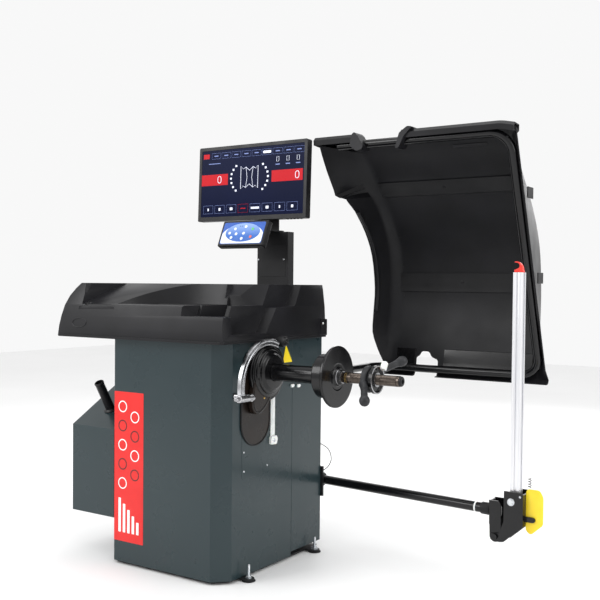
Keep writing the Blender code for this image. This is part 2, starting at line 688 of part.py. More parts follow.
# ---------------------------------------------------------------- distance gauge
def distance_gauge():
    rod("gauge_rod", (-0.300, GAUGE_Y, GAUGE_Z), (ARM_PLANE - GAP, GAUGE_Y, GAUGE_Z), 0.0110, zinc(),
        20)
    outer = arc(ARM_CENTRE, ARM_RADIUS, 192, 68, 18)
    inner = arc(ARM_CENTRE, ARM_RADIUS - ARM_WIDTH, 68, 192, 18)
    arm = extrude("gauge_arm", outer + inner, "X", ARM_PLANE, ARM_PLANE + ARM_DEPTH, aluminium())
    groove_outer = arc(ARM_CENTRE, ARM_RADIUS - 0.007, 188, 72, 14)
    groove_inner = arc(ARM_CENTRE, ARM_RADIUS - 0.013, 72, 188, 14)
    groove = extrude("groove", groove_outer + groove_inner, "X", ARM_PLANE + ARM_DEPTH - 0.002,
                     ARM_PLANE + ARM_DEPTH + 0.01, aluminium())
    lug = block("lug", (ARM_PLANE + 0.001, 0.012, 0.6330),
                (ARM_PLANE + ARM_DEPTH - 0.001, 0.0795, 0.6570), aluminium())
    combine(arm, [lug], "UNION")
    combine(arm, [groove], "DIFFERENCE")
    tip_y, tip_z = 0.2435, 0.8265
    knob = [(0, 0.0), (0, 0.010), (0.003, 0.013), (0.026, 0.013), (0.030, 0.009), (0.034, 0.009), (0.034, 0.0)]
    turned("gauge_tip", knob, (ARM_PLANE - 0.004, tip_y, tip_z), (1, 0, 0), black_plastic(), 20)


# ---------------------------------------------------------------- monitor
def monitor_post():
    """Folded channel bolted to the cabinet's back, closed at the top by a lid plate."""
    front, back, wall = CAB_DEPTH + GAP * 3, 0.665, 0.003
    outline = [(POST_LEFT, back), (POST_LEFT, front), (POST_RIGHT, front), (POST_RIGHT, back),
               (POST_RIGHT - wall, back), (POST_RIGHT - wall, front + wall),
               (POST_LEFT + wall, front + wall), (POST_LEFT + wall, back)]
    post = extrude("monitor_post", outline, "Z", 0.600, POST_TOP - 0.004, black_paint())
    lid = block("lid", (POST_LEFT, front, POST_TOP - 0.006), (POST_RIGHT, back, POST_TOP), black_paint())
    combine(post, [lid], "UNION")


def head_bracket():
    """Swivelling head: plate on the post, upright with the tilt barrel, arm to the keypad."""
    base = POST_TOP + GAP
    head = rod("head_bracket", (*HEAD_PIVOT.xy, base), (*HEAD_PIVOT.xy, base + 0.006), 0.034,
               black_paint(), 24)
    upright = block("upright", (-0.345, 0.6420, base + 0.003), (-0.225, 0.6480, 1.470), black_paint())
    arm = block("arm", (-0.300, 0.5200, base + 0.001), (-0.215, 0.6600, base + 0.005), black_paint())
    y, z = TILT_PIVOT.yz
    barrel = rod("barrel", (-0.345, y, z), (-0.225, y, z), 0.0060, black_paint(), 16)
    flat = block("flat", (-0.345, y, z - 0.0050), (-0.225, 0.6450, z + 0.0050), black_paint())
    combine(head, [arm, upright, flat, barrel], "UNION")


def keypad():
    """Wedge-shaped keypad housing, tipped forward at its lower edge."""
    lean = math.radians(24)
    left, right = -0.388, -0.165
    top = Vector((0, 0.5190, 1.2685))
    down = Vector((0, -math.sin(lean), -math.cos(lean)))
    out = Vector((0, -math.cos(lean), math.sin(lean)))
    height, depth = 0.112, 0.030
    corners = [top, top + down * height, top + down * height + out * depth, top + out * depth]
    housing = extrude("keypad_housing", [(c.y, c.z) for c in corners], "X", left, right, black_plastic())
    edge = housing.modifiers.new("edge", "BEVEL")
    edge.width = 0.006
    edge.segments = 2
    edge.limit_method = "ANGLE"
    bake(housing)
    centre = top + down * (height * 0.52) + out * (depth + GAP)
    bm = bmesh.new()
    rings = []
    for lift in (0.0, 0.0012):
        ring = []
        for step in range(24):
            angle = 2 * math.pi * step / 24
            wide, tall = 0.088 * math.cos(angle), 0.040 * math.sin(angle)
            spot = centre + Vector(((left + right) / 2 + wide, 0, 0)) + down * tall + out * lift
            ring.append(bm.verts.new(spot))
        rings.append(ring)
    bm.faces.new(rings[0])
    bm.faces.new(rings[1])
    for step in range(24):
        after = (step + 1) % 24
        bm.faces.new((rings[0][step], rings[0][after], rings[1][after], rings[1][step]))
    keep("keypad_membrane", bm, material("blue_membrane", (0.03, 0.12, 0.42), 0.35))


def lean_back(obj):
    """Tip a monitor piece back about the tilt hinge."""
    turn = Matrix.Rotation(-SCREEN_LEAN, 4, "X")
    obj.data.transform(Matrix.Translation(TILT_PIVOT) @ turn @ Matrix.Translation(-TILT_PIVOT))


def monitor():
    left, right = SCREEN_CENTRE - SCREEN_WIDTH / 2, SCREEN_CENTRE + SCREEN_WIDTH / 2
    low, high = SCREEN_LOW, SCREEN_LOW + SCREEN_HEIGHT
    rim = 0.0145
    case = block("monitor_case", (left, SCREEN_FRONT, low), (right, SCREEN_FRONT + 0.032, high),
                 black_plastic(), 0.003)
    hump = tapered("hump", (-0.45, 0.575, 1.33), (-0.15, 0.604, 1.54), 0.0, black_plastic())
    vesa = block("vesa", (-0.3495, 0.600, 1.386), (-0.2495, 0.6215, 1.486), black_plastic())
    recess = block("recess", (left + rim, SCREEN_FRONT - 0.01, low + rim + 0.004),
                   (right - rim, SCREEN_FRONT + 0.0030, high - rim), black_plastic())
    combine(case, [hump, vesa], "UNION")
    combine(case, [recess], "DIFFERENCE")
    glass = block("monitor_screen", (left + rim + GAP, SCREEN_FRONT + 0.0012, low + rim + 0.004 + GAP),
                  (right - rim - GAP, SCREEN_FRONT + 0.0030 - GAP, high - rim - GAP),
                  material("screen", (0.006, 0.012, 0.045), 0.12))
    for piece in (case, glass):
        lean_back(piece)


# ---------------------------------------------------------------- wheel guard
def hood_hinge():
    """Bearing block on the cabinet's back and the shaft that turns in it."""
    y, z = HOOD_PIVOT.y, HOOD_PIVOT.z
    body = block("hood_hinge_block", (-0.120, CAB_DEPTH + GAP, z - 0.045), (-0.020, y + 0.026, z + 0.045),
                 cast_iron(), 0.004)
    bore = rod("bore", (-0.15, y, z), (0.02, y, z), 0.0155, cast_iron(), 24)
    combine(body, [bore], "DIFFERENCE")
    end = HOOD_LEFT - HOOD_TUBE - GAP
    profile = [(-0.132, 0.0), (-0.132, 0.022), (-0.1215, 0.022), (-0.1215, 0.0150),
               (-0.0185, 0.0150), (-0.0185, 0.022), (end, 0.022), (end, 0.0)]
    turned("hood_shaft", profile, (0, y, z), (1, 0, 0), black_steel(), 24)


def hood_frame():
    """Bent tube: arm from the hinge, lower run, right side and upper run."""
    corners = [Vector((HOOD_LEFT, HOOD_PIVOT.y - 0.026, HOOD_PIVOT.z)),
               Vector((HOOD_LEFT, HOOD_BOTTOM.y, HOOD_BOTTOM.z)),
               Vector((HOOD_RIGHT, HOOD_BOTTOM.y, HOOD_BOTTOM.z)),
               Vector((HOOD_RIGHT, HOOD_TOP.y, HOOD_TOP.z)),
               Vector((0.075, HOOD_TOP.y, HOOD_TOP.z))]
    frame = as_mesh(tube("hood_frame", rounded_path(corners, 0.075), HOOD_TUBE, black_paint()))
    corners[0] = corners[0] + (corners[0] - corners[1]) * 0.1
    corners[-1] = corners[-1] + (corners[-1] - corners[-2]) * 0.1
    inside = as_mesh(tube("inside", rounded_path(corners, 0.075), HOOD_TUBE - TUBE_WALL, black_paint()))
    combine(frame, [inside], "DIFFERENCE")


def frame_line(z):
    """Depth of the right frame tube at a height."""
    share = (z - HOOD_BOTTOM.z) / (HOOD_TOP.z - HOOD_BOTTOM.z)
    return HOOD_BOTTOM.y + share * (HOOD_TOP.y - HOOD_BOTTOM.y)


def hood_cover():
    """Concave plastic guard: rows from its top lip to its bottom lip, then its skin."""
    ear, side = -0.020, 0.060
    wide, right = 0.785, 0.782
    lips = [(0.580, 1.572), (0.590, 1.597), (0.640, 1.595)]
    rows = [(ear, 0.622, 1.570, 0.700, 1.545), (ear, 0.745, 1.388, 0.800, 1.446),
            (side, 0.700, 1.362, 0.860, 1.388), (side, 0.765, 1.322, 0.926, 1.322),
            (side, 0.848, 1.245, 0.983, 1.240), (side, 0.910, 1.149, 1.020, 1.150),
            (side, 0.937, 1.019, 1.033, 1.020), (side, 0.918, 0.922, 1.028, 0.920),
            (side, 0.915, 0.830, 1.014, 0.835), (side + 0.010, 0.950, 0.762, 0.999, 0.768),
            (side + 0.022, 0.975, 0.716, 0.990, 0.712)]
    bottom = [(0.982, 0.672), (0.955, 0.660)]
    bm = bmesh.new()
    grid = []
    for y, z in lips:
        grid.append([(ear, y, z), (0.10, y, z), (0.14, y, z), (0.722, y, z), (0.763, y, z),
                     (right, y, z)])
    for x, edge_y, edge_z, y, z in rows:
        near = min(frame_line(edge_z) - 0.008, y - 0.030)
        inset = 0.022 if z > 0.800 else 0.004
        grid.append([(x, edge_y, edge_z), (0.100, y - inset, z), (0.140, y, z), (0.722, y, z),
                     (0.763, y - 0.010, z), (wide, near, edge_z)])
    for y, z in bottom:
        grid.append([(side + 0.030, y, z), (0.10, y, z), (0.14, y, z), (0.722, y, z), (0.763, y, z),
                     (wide, y, z)])
    verts = [[bm.verts.new(spot) for spot in row] for row in grid]
    for upper, lower in zip(verts, verts[1:]):
        for step in range(len(upper) - 1):
            bm.faces.new((upper[step], lower[step], lower[step + 1], upper[step + 1]))
    cover = keep("hood_cover", bm, black_plastic())
    thick = cover.modifiers.new("skin", "SOLIDIFY")
    thick.thickness = 0.004
    thick.offset = -1.0
    thick.use_even_offset = True
    bake(cover)
    opening = [(0.228, 0.60), (0.228, 0.735), (0.248, 0.768), (0.305, 0.768), (0.330, 0.735),
               (0.330, 0.60)]
    notch = extrude("notch", opening, "Y", 0.90, 1.10, black_plastic())
    combine(cover, [notch], "DIFFERENCE")


# ---------------------------------------------------------------- width gauge
def gauge_mount():
    """Plate on the cabinet's back with the sleeve that the cross tube turns in."""
    along = (TUBE_TIP - TUBE_ROOT).normalized()
    paint = black_paint()
    plate = block("gauge_mount", (-0.095, CAB_DEPTH + GAP, 0.199), (0.0100, 0.6298, 0.316), paint)
    sleeve = rod("sleeve", TUBE_ROOT + along * 0.004, TUBE_ROOT + along * 0.078, 0.0270, paint)
    web = block("web", (-0.078, 0.6250, 0.2440), (-0.012, 0.6420, 0.2730), paint)
    combine(plate, [sleeve, web], "UNION")
    bore = rod("bore", TUBE_ROOT - along * 0.05, TUBE_ROOT + along * 0.15, TUBE_RADIUS + 0.0005, paint)
    combine(plate, [bore], "DIFFERENCE")


def cross_tube():
    pipe("cross_tube", TUBE_ROOT, TUBE_TIP, TUBE_RADIUS - TUBE_WALL, TUBE_RADIUS, black_paint(), 24)


def gauge_link():
    """Fork on the end of the cross tube, with its stop stub and pivot pin."""
    x, y, z = LINK_PIN
    tube_z = TUBE_TIP.z
    paint = black_paint()
    left = TUBE_TIP.x + 0.0024
    cheek = arc((x, z), 0.020, 190, 350, 8) + [(0.7660, 0.286), (0.7560, 0.298), (left, 0.298)]
    link = extrude("gauge_link", cheek, "Y", y - 0.0235, y - 0.0185, paint)
    rear = extrude("rear", cheek, "Y", y + 0.0315, y + 0.0365, paint)
    web = block("web", (left, y - 0.0200, 0.215), (left + 0.0060, y + 0.0330, 0.296), paint)
    stub = rod("stub", (left + 0.003, y + 0.006, tube_z), (0.758, y + 0.006, tube_z), 0.0160, paint, 20)
    pin = rod("pin", (x, y - 0.033, z), (x, y + 0.046, z), 0.0060, paint, 16)
    washer = rod("washer", (x, y - 0.0375, z), (x, y - 0.0305, z), 0.0105, paint, 20)
    combine(link, [rear, web, stub, pin, washer], "UNION")


def column_bracket():
    """Swinging bracket: two cheeks on the pin, joined by a web behind the column."""
    y = LINK_PIN.y
    web_right = 0.8460
    paint = black_paint()
    cheek = [(0.7790, 0.337), (0.7790, 0.232), (0.7640, 0.190), (0.7330, 0.186), (0.7330, 0.166),
             (0.7640, 0.160), (0.7800, 0.163), (web_right, 0.222), (web_right, 0.330),
             (0.8380, 0.337)]
    front = extrude("column_bracket", cheek, "Y", y - 0.0290, y - 0.0240, paint)
    rear = extrude("rear", cheek, "Y", y + 0.0372, y + 0.0422, paint)
    web = block("web", (web_right - 0.006, y - 0.0270, 0.2225), (web_right, y + 0.0400, 0.330), paint)
    tab_outline = arc((0.8720, 0.2460), 0.0090, -90, 90, 8)
    tab_outline += [(web_right - 0.003, 0.2550), (web_right - 0.003, 0.2370)]
    tab = extrude("tab", tab_outline, "Y", y - 0.0085, y - 0.0025, paint)
    combine(front, [rear, web, tab], "UNION")
    reach = Vector((0, 0.06, 0))
    pin_bore = rod("bore", LINK_PIN - reach, LINK_PIN + reach, 0.0065, paint, 16)
    bolt_bore = rod("bore", BOLT - reach, BOLT + reach, 0.0055, paint, 12)
    combine(front, [pin_bore, bolt_bore], "DIFFERENCE")


def column():
    """Slotted aluminium column with a cross hole for its bolt."""
    half = COLUMN_SIDE / 2
    groove, depth = 0.004, 0.004
    x, y = COLUMN.x, COLUMN.y
    outline = [(x - half, y - half), (x - groove, y - half), (x - groove, y - half + depth),
               (x + groove, y - half + depth), (x + groove, y - half), (x + half, y - half),
               (x + half, y - groove), (x + half - depth, y - groove), (x + half - depth, y + groove),
               (x + half, y + groove), (x + half, y + half), (x - half, y + half)]
    body = extrude("gauge_column", outline, "Z", COLUMN_LOW, COLUMN_HIGH, aluminium())
    reach = Vector((0, 0.05, 0))
    hole = rod("hole", BOLT - reach, BOLT + reach, 0.0055, aluminium(), 16)
    combine(body, [hole], "DIFFERENCE")


def column_bolt():
    """Hex bolt through both cheeks and the column, with its head in front."""
    x, y, z = BOLT.x, BOLT.y, BOLT.z
    bolt = rod("column_bolt", (x, y - 0.0330, z), (x, y + 0.0460, z), 0.0050, zinc(), 12)
    head = rod("head", (x, y - 0.0360, z), (x, y - 0.0293, z), 0.0100, zinc(), 6)
    combine(bolt, [head], "UNION")


def hook_tip():
    """Red plastic hook that feels the rim's outer edge."""
    x = COLUMN.x
    low = COLUMN_HIGH + GAP
    belly = arc((x - 0.0080, 1.0990), 0.0100, -70, 90, 8)
    crown = arc((x - 0.0140, 1.0870), 0.0270, 62, 0, 8)
    outline = [(x - 0.0165, low), (x - 0.0165, 1.0850)] + belly + [(x - 0.0170, 1.1110)] + crown[1:]
    outline += [(x + 0.0160, low)]
    red = material("red_plastic", (0.75, 0.03, 0.02), 0.38)
    extrude("hook_tip", outline, "Y", COLUMN.y - 0.008, COLUMN.y + 0.008, red)


def guard_plate():
    """Yellow guard plate with clipped corners, standing out from the bracket's web."""
    y = LINK_PIN.y
    left, right, low, high = 0.8465, 0.9060, 0.1970, 0.3480
    outline = [(left, 0.2090), (left + 0.012, low), (0.868, low), (right, 0.232), (right, 0.326),
               (0.893, high), (left + 0.006, high), (left, 0.338)]
    yellow = material("yellow_paint", (0.86, 0.66, 0.0), 0.40)
    extrude("guard_plate", outline, "Y", y - 0.002, y + 0.002, yellow)


def return_spring():
    """Small coil between the bracket and the guard plate."""
    turns, radius, low, high = 4, 0.0052, 0.3520, 0.3860
    points = []
    for step in range(turns * 8 + 1):
        angle = 2 * math.pi * step / 8
        height = low + (high - low) * step / (turns * 8)
        across, deep = radius * math.cos(angle), radius * math.sin(angle)
        points.append(Vector((0.8580 + across, LINK_PIN.y + deep, height)))
    tube("return_spring", points, 0.0012, black_steel(), 1)


def gauge_cable():
    """Sensor lead from the cabinet's back to the tube's sleeve, held at both ends."""
    ends = [Vector((-0.035, CAB_DEPTH + 0.0010, 0.405)), Vector((-0.022, 0.640, 0.404)),
            Vector((0.006, 0.668, 0.378)), Vector((0.012, 0.682, 0.338)),
            Vector((0.000, 0.678, 0.306)), Vector((-0.018, 0.6600, 0.2872))]
    tube("gauge_cable", smooth_path(ends, 5), 0.0016, black_rubber(), 2)


# ---------------------------------------------------------------- placing
PIVOTS = {
    (0.0, SPIN_Y, SPIN_Z): ("spindle_shaft", "hub_flange", "end_cap", "spindle_pulley",
                            "encoder_disc", "nut_core", "nut_body", "nut_cup", "nut_release"),
    (0.0, MOTOR_Y, MOTOR_Z): ("motor_rotor",),
    tuple(ROCKER): ("mains_rocker",),
    (0.0, GAUGE_Y, GAUGE_Z): ("gauge_rod", "gauge_arm", "gauge_tip"),
    tuple(HEAD_PIVOT): ("head_bracket", "keypad_housing", "keypad_membrane"),
    tuple(TILT_PIVOT): ("monitor_case", "monitor_screen"),
    tuple(HOOD_PIVOT): ("hood_shaft", "hood_frame", "hood_cover"),
    tuple(TUBE_ROOT): ("cross_tube", "gauge_link"),
    tuple(LINK_PIN): ("column_bracket", "gauge_column", "column_bolt", "hook_tip", "guard_plate",
                      "return_spring"),
}


def place_all():
    """Give each piece its body's pivot as its origin, then centre the whole on the base."""
    pivot_of = {name: Vector(pivot) for pivot, names in PIVOTS.items() for name in names}
    for obj in bpy.data.objects:
        pivot = pivot_of.get(obj.name, Vector((0, 0, 0)))
        obj.data.transform(Matrix.Translation(-pivot))
        obj.location = pivot - ORIGIN


def main():
    clear_scene()
    for build in (base_plate, feet, cabinet, side_box, cone_peg, tray, side_cover, spindle_boss,
                  holder_strip, bearing_housing, bearings, force_sensors, spindle_column,
                  spindle_shaft, hub_flange, end_cap, spindle_pulley, encoder_disc, motor,
                  motor_rotor, drive_belt, electronics, mains_rocker, nut, distance_gauge,
                  monitor_post, head_bracket, keypad, monitor, hood_hinge, hood_frame, hood_cover,
                  gauge_mount, cross_tube, gauge_link, column_bracket, column, column_bolt,
                  hook_tip, guard_plate, return_spring, gauge_cable):
        build()
    place_all()


main()
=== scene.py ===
"""The look of a car wheel balancer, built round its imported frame.

Laid out as an add-on, with one operator for each group of pieces and one for the stage.
Places are given from the cabinet's front right corner on the floor: x runs along the
spindle, y to the back and z up, in metres. at() turns them into the frame's own places.
"""
import json
import math

import bmesh
import bpy
from mathutils import Matrix, Vector
from mathutils.bvhtree import BVHTree

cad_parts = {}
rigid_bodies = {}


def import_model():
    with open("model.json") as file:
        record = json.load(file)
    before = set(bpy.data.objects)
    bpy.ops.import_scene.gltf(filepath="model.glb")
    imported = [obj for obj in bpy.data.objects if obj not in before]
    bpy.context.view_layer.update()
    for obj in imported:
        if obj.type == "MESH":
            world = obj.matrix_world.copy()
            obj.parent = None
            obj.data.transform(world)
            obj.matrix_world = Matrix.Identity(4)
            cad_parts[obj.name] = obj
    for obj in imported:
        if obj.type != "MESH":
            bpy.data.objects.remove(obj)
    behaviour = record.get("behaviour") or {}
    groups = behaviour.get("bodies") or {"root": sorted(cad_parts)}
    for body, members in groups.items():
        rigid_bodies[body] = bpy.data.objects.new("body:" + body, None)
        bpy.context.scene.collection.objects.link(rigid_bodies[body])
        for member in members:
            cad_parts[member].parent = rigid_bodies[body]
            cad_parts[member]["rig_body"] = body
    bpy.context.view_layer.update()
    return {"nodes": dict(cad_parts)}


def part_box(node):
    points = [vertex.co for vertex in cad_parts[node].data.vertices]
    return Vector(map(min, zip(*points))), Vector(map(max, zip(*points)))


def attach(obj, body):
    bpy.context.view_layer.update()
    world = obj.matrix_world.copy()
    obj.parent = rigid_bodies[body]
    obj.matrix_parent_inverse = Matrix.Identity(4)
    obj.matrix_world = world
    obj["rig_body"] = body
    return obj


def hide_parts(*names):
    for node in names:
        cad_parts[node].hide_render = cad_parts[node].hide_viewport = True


bl_info = {
    "name": "Wheel balancer look",
    "version": (1, 0, 0),
    "blender": (4, 5, 0),
    "location": "View3D > Sidebar > Wheel balancer",
    "description": "Finishes and fine pieces for a car wheel balancer",
    "category": "Object",
}

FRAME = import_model()
CORNER = Vector((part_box("cabinet_front")[1].x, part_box("cabinet_front")[0].y, 0.0))
SLOTS = {name: obj.data.materials[0].name for name, obj in FRAME["nodes"].items()}


def at(x, y, z):
    """A place given from the cabinet's front right corner, in the frame's own axes."""
    return CORNER + Vector((x, y, z))


def box_of(node):
    """A CAD node's lowest and highest corners, from the cabinet's front right corner."""
    low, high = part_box(node)
    return low - CORNER, high - CORNER


def middle_of(node):
    """The middle of a CAD node, from the cabinet's front right corner."""
    low, high = box_of(node)
    return (low + high) / 2


CABINET_BACK = box_of("cabinet_rear")[1].y
SPINDLE = middle_of("hub_flange")
SHAFT_LOW, SHAFT_HIGH = box_of("spindle_shaft")
TRAY_LOW = box_of("weight_tray")[0]


# ---------------------------------------------------------------- settings
class BalancerSizes(bpy.types.PropertyGroup):
    """Sizes of the fine pieces."""
    thread_pitch: bpy.props.FloatProperty(
        name="Thread pitch", description="Distance between the shaft thread's crests",
        default=0.003, min=0.001, max=0.01, unit="LENGTH", subtype="DISTANCE")
    sheet_radius: bpy.props.FloatProperty(
        name="Bend radius", description="Radius of the folded sheet steel's long bends",
        default=0.0022, min=0.0002, max=0.01, unit="LENGTH", subtype="DISTANCE")
    mould_radius: bpy.props.FloatProperty(
        name="Tray edge radius", description="Radius of the formed tray's edges",
        default=0.0055, min=0.0005, max=0.02, unit="LENGTH", subtype="DISTANCE")
    guard_wall: bpy.props.FloatProperty(
        name="Guard wall", description="Thickness of the wheel guard's plastic shell",
        default=0.004, min=0.001, max=0.01, unit="LENGTH", subtype="DISTANCE")
    key_size: bpy.props.FloatProperty(
        name="Key size", description="Diameter of the keypad's round keys",
        default=0.0125, min=0.004, max=0.03, unit="LENGTH", subtype="DISTANCE")


class BalancerColours(bpy.types.PropertyGroup):
    """Colours that an owner might change."""
    cabinet: bpy.props.StringProperty(
        name="Cabinet", description="Powder coat of the sheet steel, sRGB hex", default="243236")
    decal: bpy.props.StringProperty(
        name="Decal", description="Self-adhesive panel on the front, sRGB hex", default="d8100c")
    guard: bpy.props.StringProperty(
        name="Guard and tray", description="Formed plastic shells, sRGB hex", default="141416")
    hook: bpy.props.StringProperty(
        name="Hook", description="Plastic hook on the width gauge, sRGB hex", default="e2281c")
    plate: bpy.props.StringProperty(
        name="Guard plate", description="Enamel of the width gauge's plate, sRGB hex", default="f6d400")


def sizes():
    """The sizes that the panel shows."""
    return bpy.context.scene.balancer_sizes


def colours():
    """The colours that the panel shows."""
    return bpy.context.scene.balancer_colours


# ---------------------------------------------------------------- materials
def linear(code):
    """sRGB hex to linear RGBA."""
    parts = [int(code[i:i + 2], 16) / 255 for i in (0, 2, 4)]
    turned = [p / 12.92 if p <= 0.04045 else ((p + 0.055) / 1.055) ** 2.4 for p in parts]
    return (*turned, 1.0)


def node(tree, kind, sockets=None, **settings):
    """Add a node: settings are its properties, sockets its inputs as values or as links."""
    made = tree.nodes.new(kind)
    for key, value in settings.items():
        setattr(made, key, value)
    for key, value in (sockets or {}).items():
        if isinstance(value, bpy.types.NodeSocket):
            tree.links.new(value, made.inputs[key])
        else:
            made.inputs[key].default_value = value
    return made


def finish(name, roughness, metallic=0.0, **constants):
    """A new material with its shader's constants set. Returns it, its tree and its shader."""
    made = bpy.data.materials.new(name)
    made.use_nodes = True
    shader = made.node_tree.nodes["Principled BSDF"]
    shader.inputs["Roughness"].default_value = roughness
    shader.inputs["Metallic"].default_value = metallic
    for key, value in constants.items():
        shader.inputs[key.replace("_", " ").title().replace("Ior", "IOR")].default_value = value
    return made, made.node_tree, shader


def object_coordinates(tree, stretch=(1, 1, 1)):
    """A place on the piece itself, in metres, stretched along its axes."""
    coordinates = node(tree, "ShaderNodeTexCoord")
    return node(tree, "ShaderNodeMapping",
                {"Vector": coordinates.outputs["Object"], "Scale": stretch}).outputs["Vector"]


def tint(tree, shader, first, second, scale, detail=4.0, stretch=(1, 1, 1), low=0.35, high=0.65):
    """Colour that drifts between two values in soft patches, scale patches to a metre."""
    cloud = node(tree, "ShaderNodeTexNoise",
                 {"Vector": object_coordinates(tree, stretch), "Scale": scale, "Detail": detail})
    ramp = node(tree, "ShaderNodeValToRGB", {"Fac": cloud.outputs["Fac"]})
    ramp.color_ramp.elements[0].position = low
    ramp.color_ramp.elements[0].color = linear(first)
    ramp.color_ramp.elements[1].position = high
    ramp.color_ramp.elements[1].color = linear(second)
    tree.links.new(ramp.outputs["Color"], shader.inputs["Base Color"])


def polish(tree, shader, low, high, scale, stretch=(1, 1, 1)):
    """Roughness that drifts between two values."""
    cloud = node(tree, "ShaderNodeTexNoise",
                 {"Vector": object_coordinates(tree, stretch), "Scale": scale, "Detail": 5.0})
    spread = node(tree, "ShaderNodeMapRange",
                  {"Value": cloud.outputs["Fac"], "From Min": 0.3, "From Max": 0.7,
                   "To Min": low, "To Max": high})
    tree.links.new(spread.outputs["Result"], shader.inputs["Roughness"])


def relief(tree, shader, height, depth, strength=1.0):
    """Bump from a height output; depth in metres."""
    bump = node(tree, "ShaderNodeBump", {"Height": height, "Distance": depth, "Strength": strength})
    tree.links.new(bump.outputs["Normal"], shader.inputs["Normal"])


def grain(tree, size, detail=2.0, stretch=(1, 1, 1)):
    """Noise whose lumps are about the given size in metres."""
    cloud = node(tree, "ShaderNodeTexNoise",
                 {"Vector": object_coordinates(tree, stretch), "Scale": 1.0 / size, "Detail": detail})
    return cloud.outputs["Fac"]


def cells(tree, size):
    """Cells about the given size across, in metres."""
    pattern = node(tree, "ShaderNodeTexVoronoi",
                   {"Vector": object_coordinates(tree), "Scale": 1.0 / size}, feature="SMOOTH_F1")
    return pattern.outputs["Distance"]


def powder_coat():
    """Gloss polyester powder coat, sprayed and baked: fine orange peel of about 4 mm, wide soft
    patches where the film is thicker, and a clear gloss over the pigment."""
    made, tree, shader = finish("powder_coat_petrol", 0.30, specular_ior_level=0.32, coat_weight=0.12,
                                coat_roughness=0.12)
    code = colours().cabinet
    tint(tree, shader, code, "283639", 1.6, 2.0, low=0.3, high=0.7)
    polish(tree, shader, 0.24, 0.36, 9.0)
    relief(tree, shader, grain(tree, 0.004), 0.00004, 0.3)
    return made


def gloss_enamel():
    """Black stove enamel on tube and castings: almost a mirror, with a slight peel of 6 mm."""
    made, tree, shader = finish("black_stove_enamel", 0.14, specular_ior_level=0.38)
    tint(tree, shader, "08080a", "0e0e10", 6.0)
    polish(tree, shader, 0.13, 0.24, 14.0)
    relief(tree, shader, grain(tree, 0.006), 0.00005, 0.4)
    return made


def satin_enamel():
    """Black powder coat on folded brackets: satin, with a fine 1.5 mm texture."""
    made, tree, shader = finish("black_satin_powder", 0.42, specular_ior_level=0.30)
    tint(tree, shader, "121214", "19191c", 12.0)
    polish(tree, shader, 0.36, 0.50, 20.0)
    relief(tree, shader, grain(tree, 0.0015, 3.0), 0.00008, 0.5)
    return made


def formed_abs():
    """Vacuum-formed ABS sheet with a pressed hair-cell grain of about 1.2 mm, drawn a little
    coarser than it is so that it shows: dark and satin, a little lighter in soft patches."""
    made, tree, shader = finish("hair_cell_abs", 0.40, specular_ior_level=0.22)
    tint(tree, shader, colours().guard, "1b1b1e", 5.0)
    polish(tree, shader, 0.34, 0.47, 7.0)
    relief(tree, shader, cells(tree, 0.0016), 0.00010, 0.55)
    return made


def moulded_abs():
    """Injection-moulded black ABS: finer spark-eroded texture than the formed sheet."""
    made, tree, shader = finish("moulded_black_abs", 0.38, specular_ior_level=0.28)
    tint(tree, shader, "131315", "1a1a1c", 10.0)
    polish(tree, shader, 0.32, 0.45, 16.0)
    relief(tree, shader, grain(tree, 0.0008, 2.0), 0.00004, 0.5)
    return made


def filled_nylon():
    """Glass-filled nylon of the nut: dull black-grey, with flow marks and a chalky bloom."""
    made, tree, shader = finish("glass_filled_nylon", 0.52, specular_ior_level=0.35)
    tint(tree, shader, "1b1c1e", "292a2d", 40.0, 6.0)
    polish(tree, shader, 0.42, 0.62, 60.0)
    relief(tree, shader, grain(tree, 0.0012, 4.0), 0.00009, 0.6)
    return made


def rubber():
    """Moulded nitrile rubber: matt, with a faint grey bloom."""
    made, tree, shader = finish("nitrile_rubber", 0.82, specular_ior_level=0.3)
    tint(tree, shader, "121213", "222223", 30.0)
    relief(tree, shader, grain(tree, 0.0010, 3.0), 0.00010, 0.6)
    return made


def bronze_black():
    """Black lacquer over bronze-brown primer on flat covers: warm black, satin gloss."""
    made, tree, shader = finish("warm_black_lacquer", 0.30, specular_ior_level=0.30)
    tint(tree, shader, "17110e", "201813", 14.0)
    polish(tree, shader, 0.24, 0.38, 20.0)
    relief(tree, shader, grain(tree, 0.003), 0.00004, 0.4)
    return made


def yellow_brass():
    """Bright turned brass of small screws and marking rings."""
    made, tree, shader = finish("turned_brass", 0.28, 1.0)
    tint(tree, shader, "c9a25a", "e0bd78", 60.0)
    return made


def deep_film():
    """Reverse-printed polyester film: even deep blue under a soft gloss."""
    made, tree, shader = finish("printed_film_deep_blue", 0.26)
    tint(tree, shader, "1b4fa8", "2159b6", 20.0)
    return made


def ground_steel():
    """Hard-chromed and ground spindle steel: dark mirror with hair lines round the turn."""
    made, tree, shader = finish("ground_chromed_steel", 0.18, 1.0)
    tint(tree, shader, "574f49", "6a615a", 8.0, 3.0, (60, 1, 1))
    polish(tree, shader, 0.12, 0.26, 20.0, (40, 1, 1))
    return made


def turned_steel():
    """Bright turned steel: tool marks 0.3 mm apart, drawn at 1 mm so that they show."""
    made, tree, shader = finish("turned_bright_steel", 0.26, 1.0)
    tint(tree, shader, "9c9c9f", "bcbcbe", 12.0, 3.0, (30, 1, 1))
    polish(tree, shader, 0.20, 0.34, 30.0, (30, 1, 1))
    relief(tree, shader, grain(tree, 0.001, 2.0, (1, 0.05, 0.05)), 0.00002, 0.4)
    return made


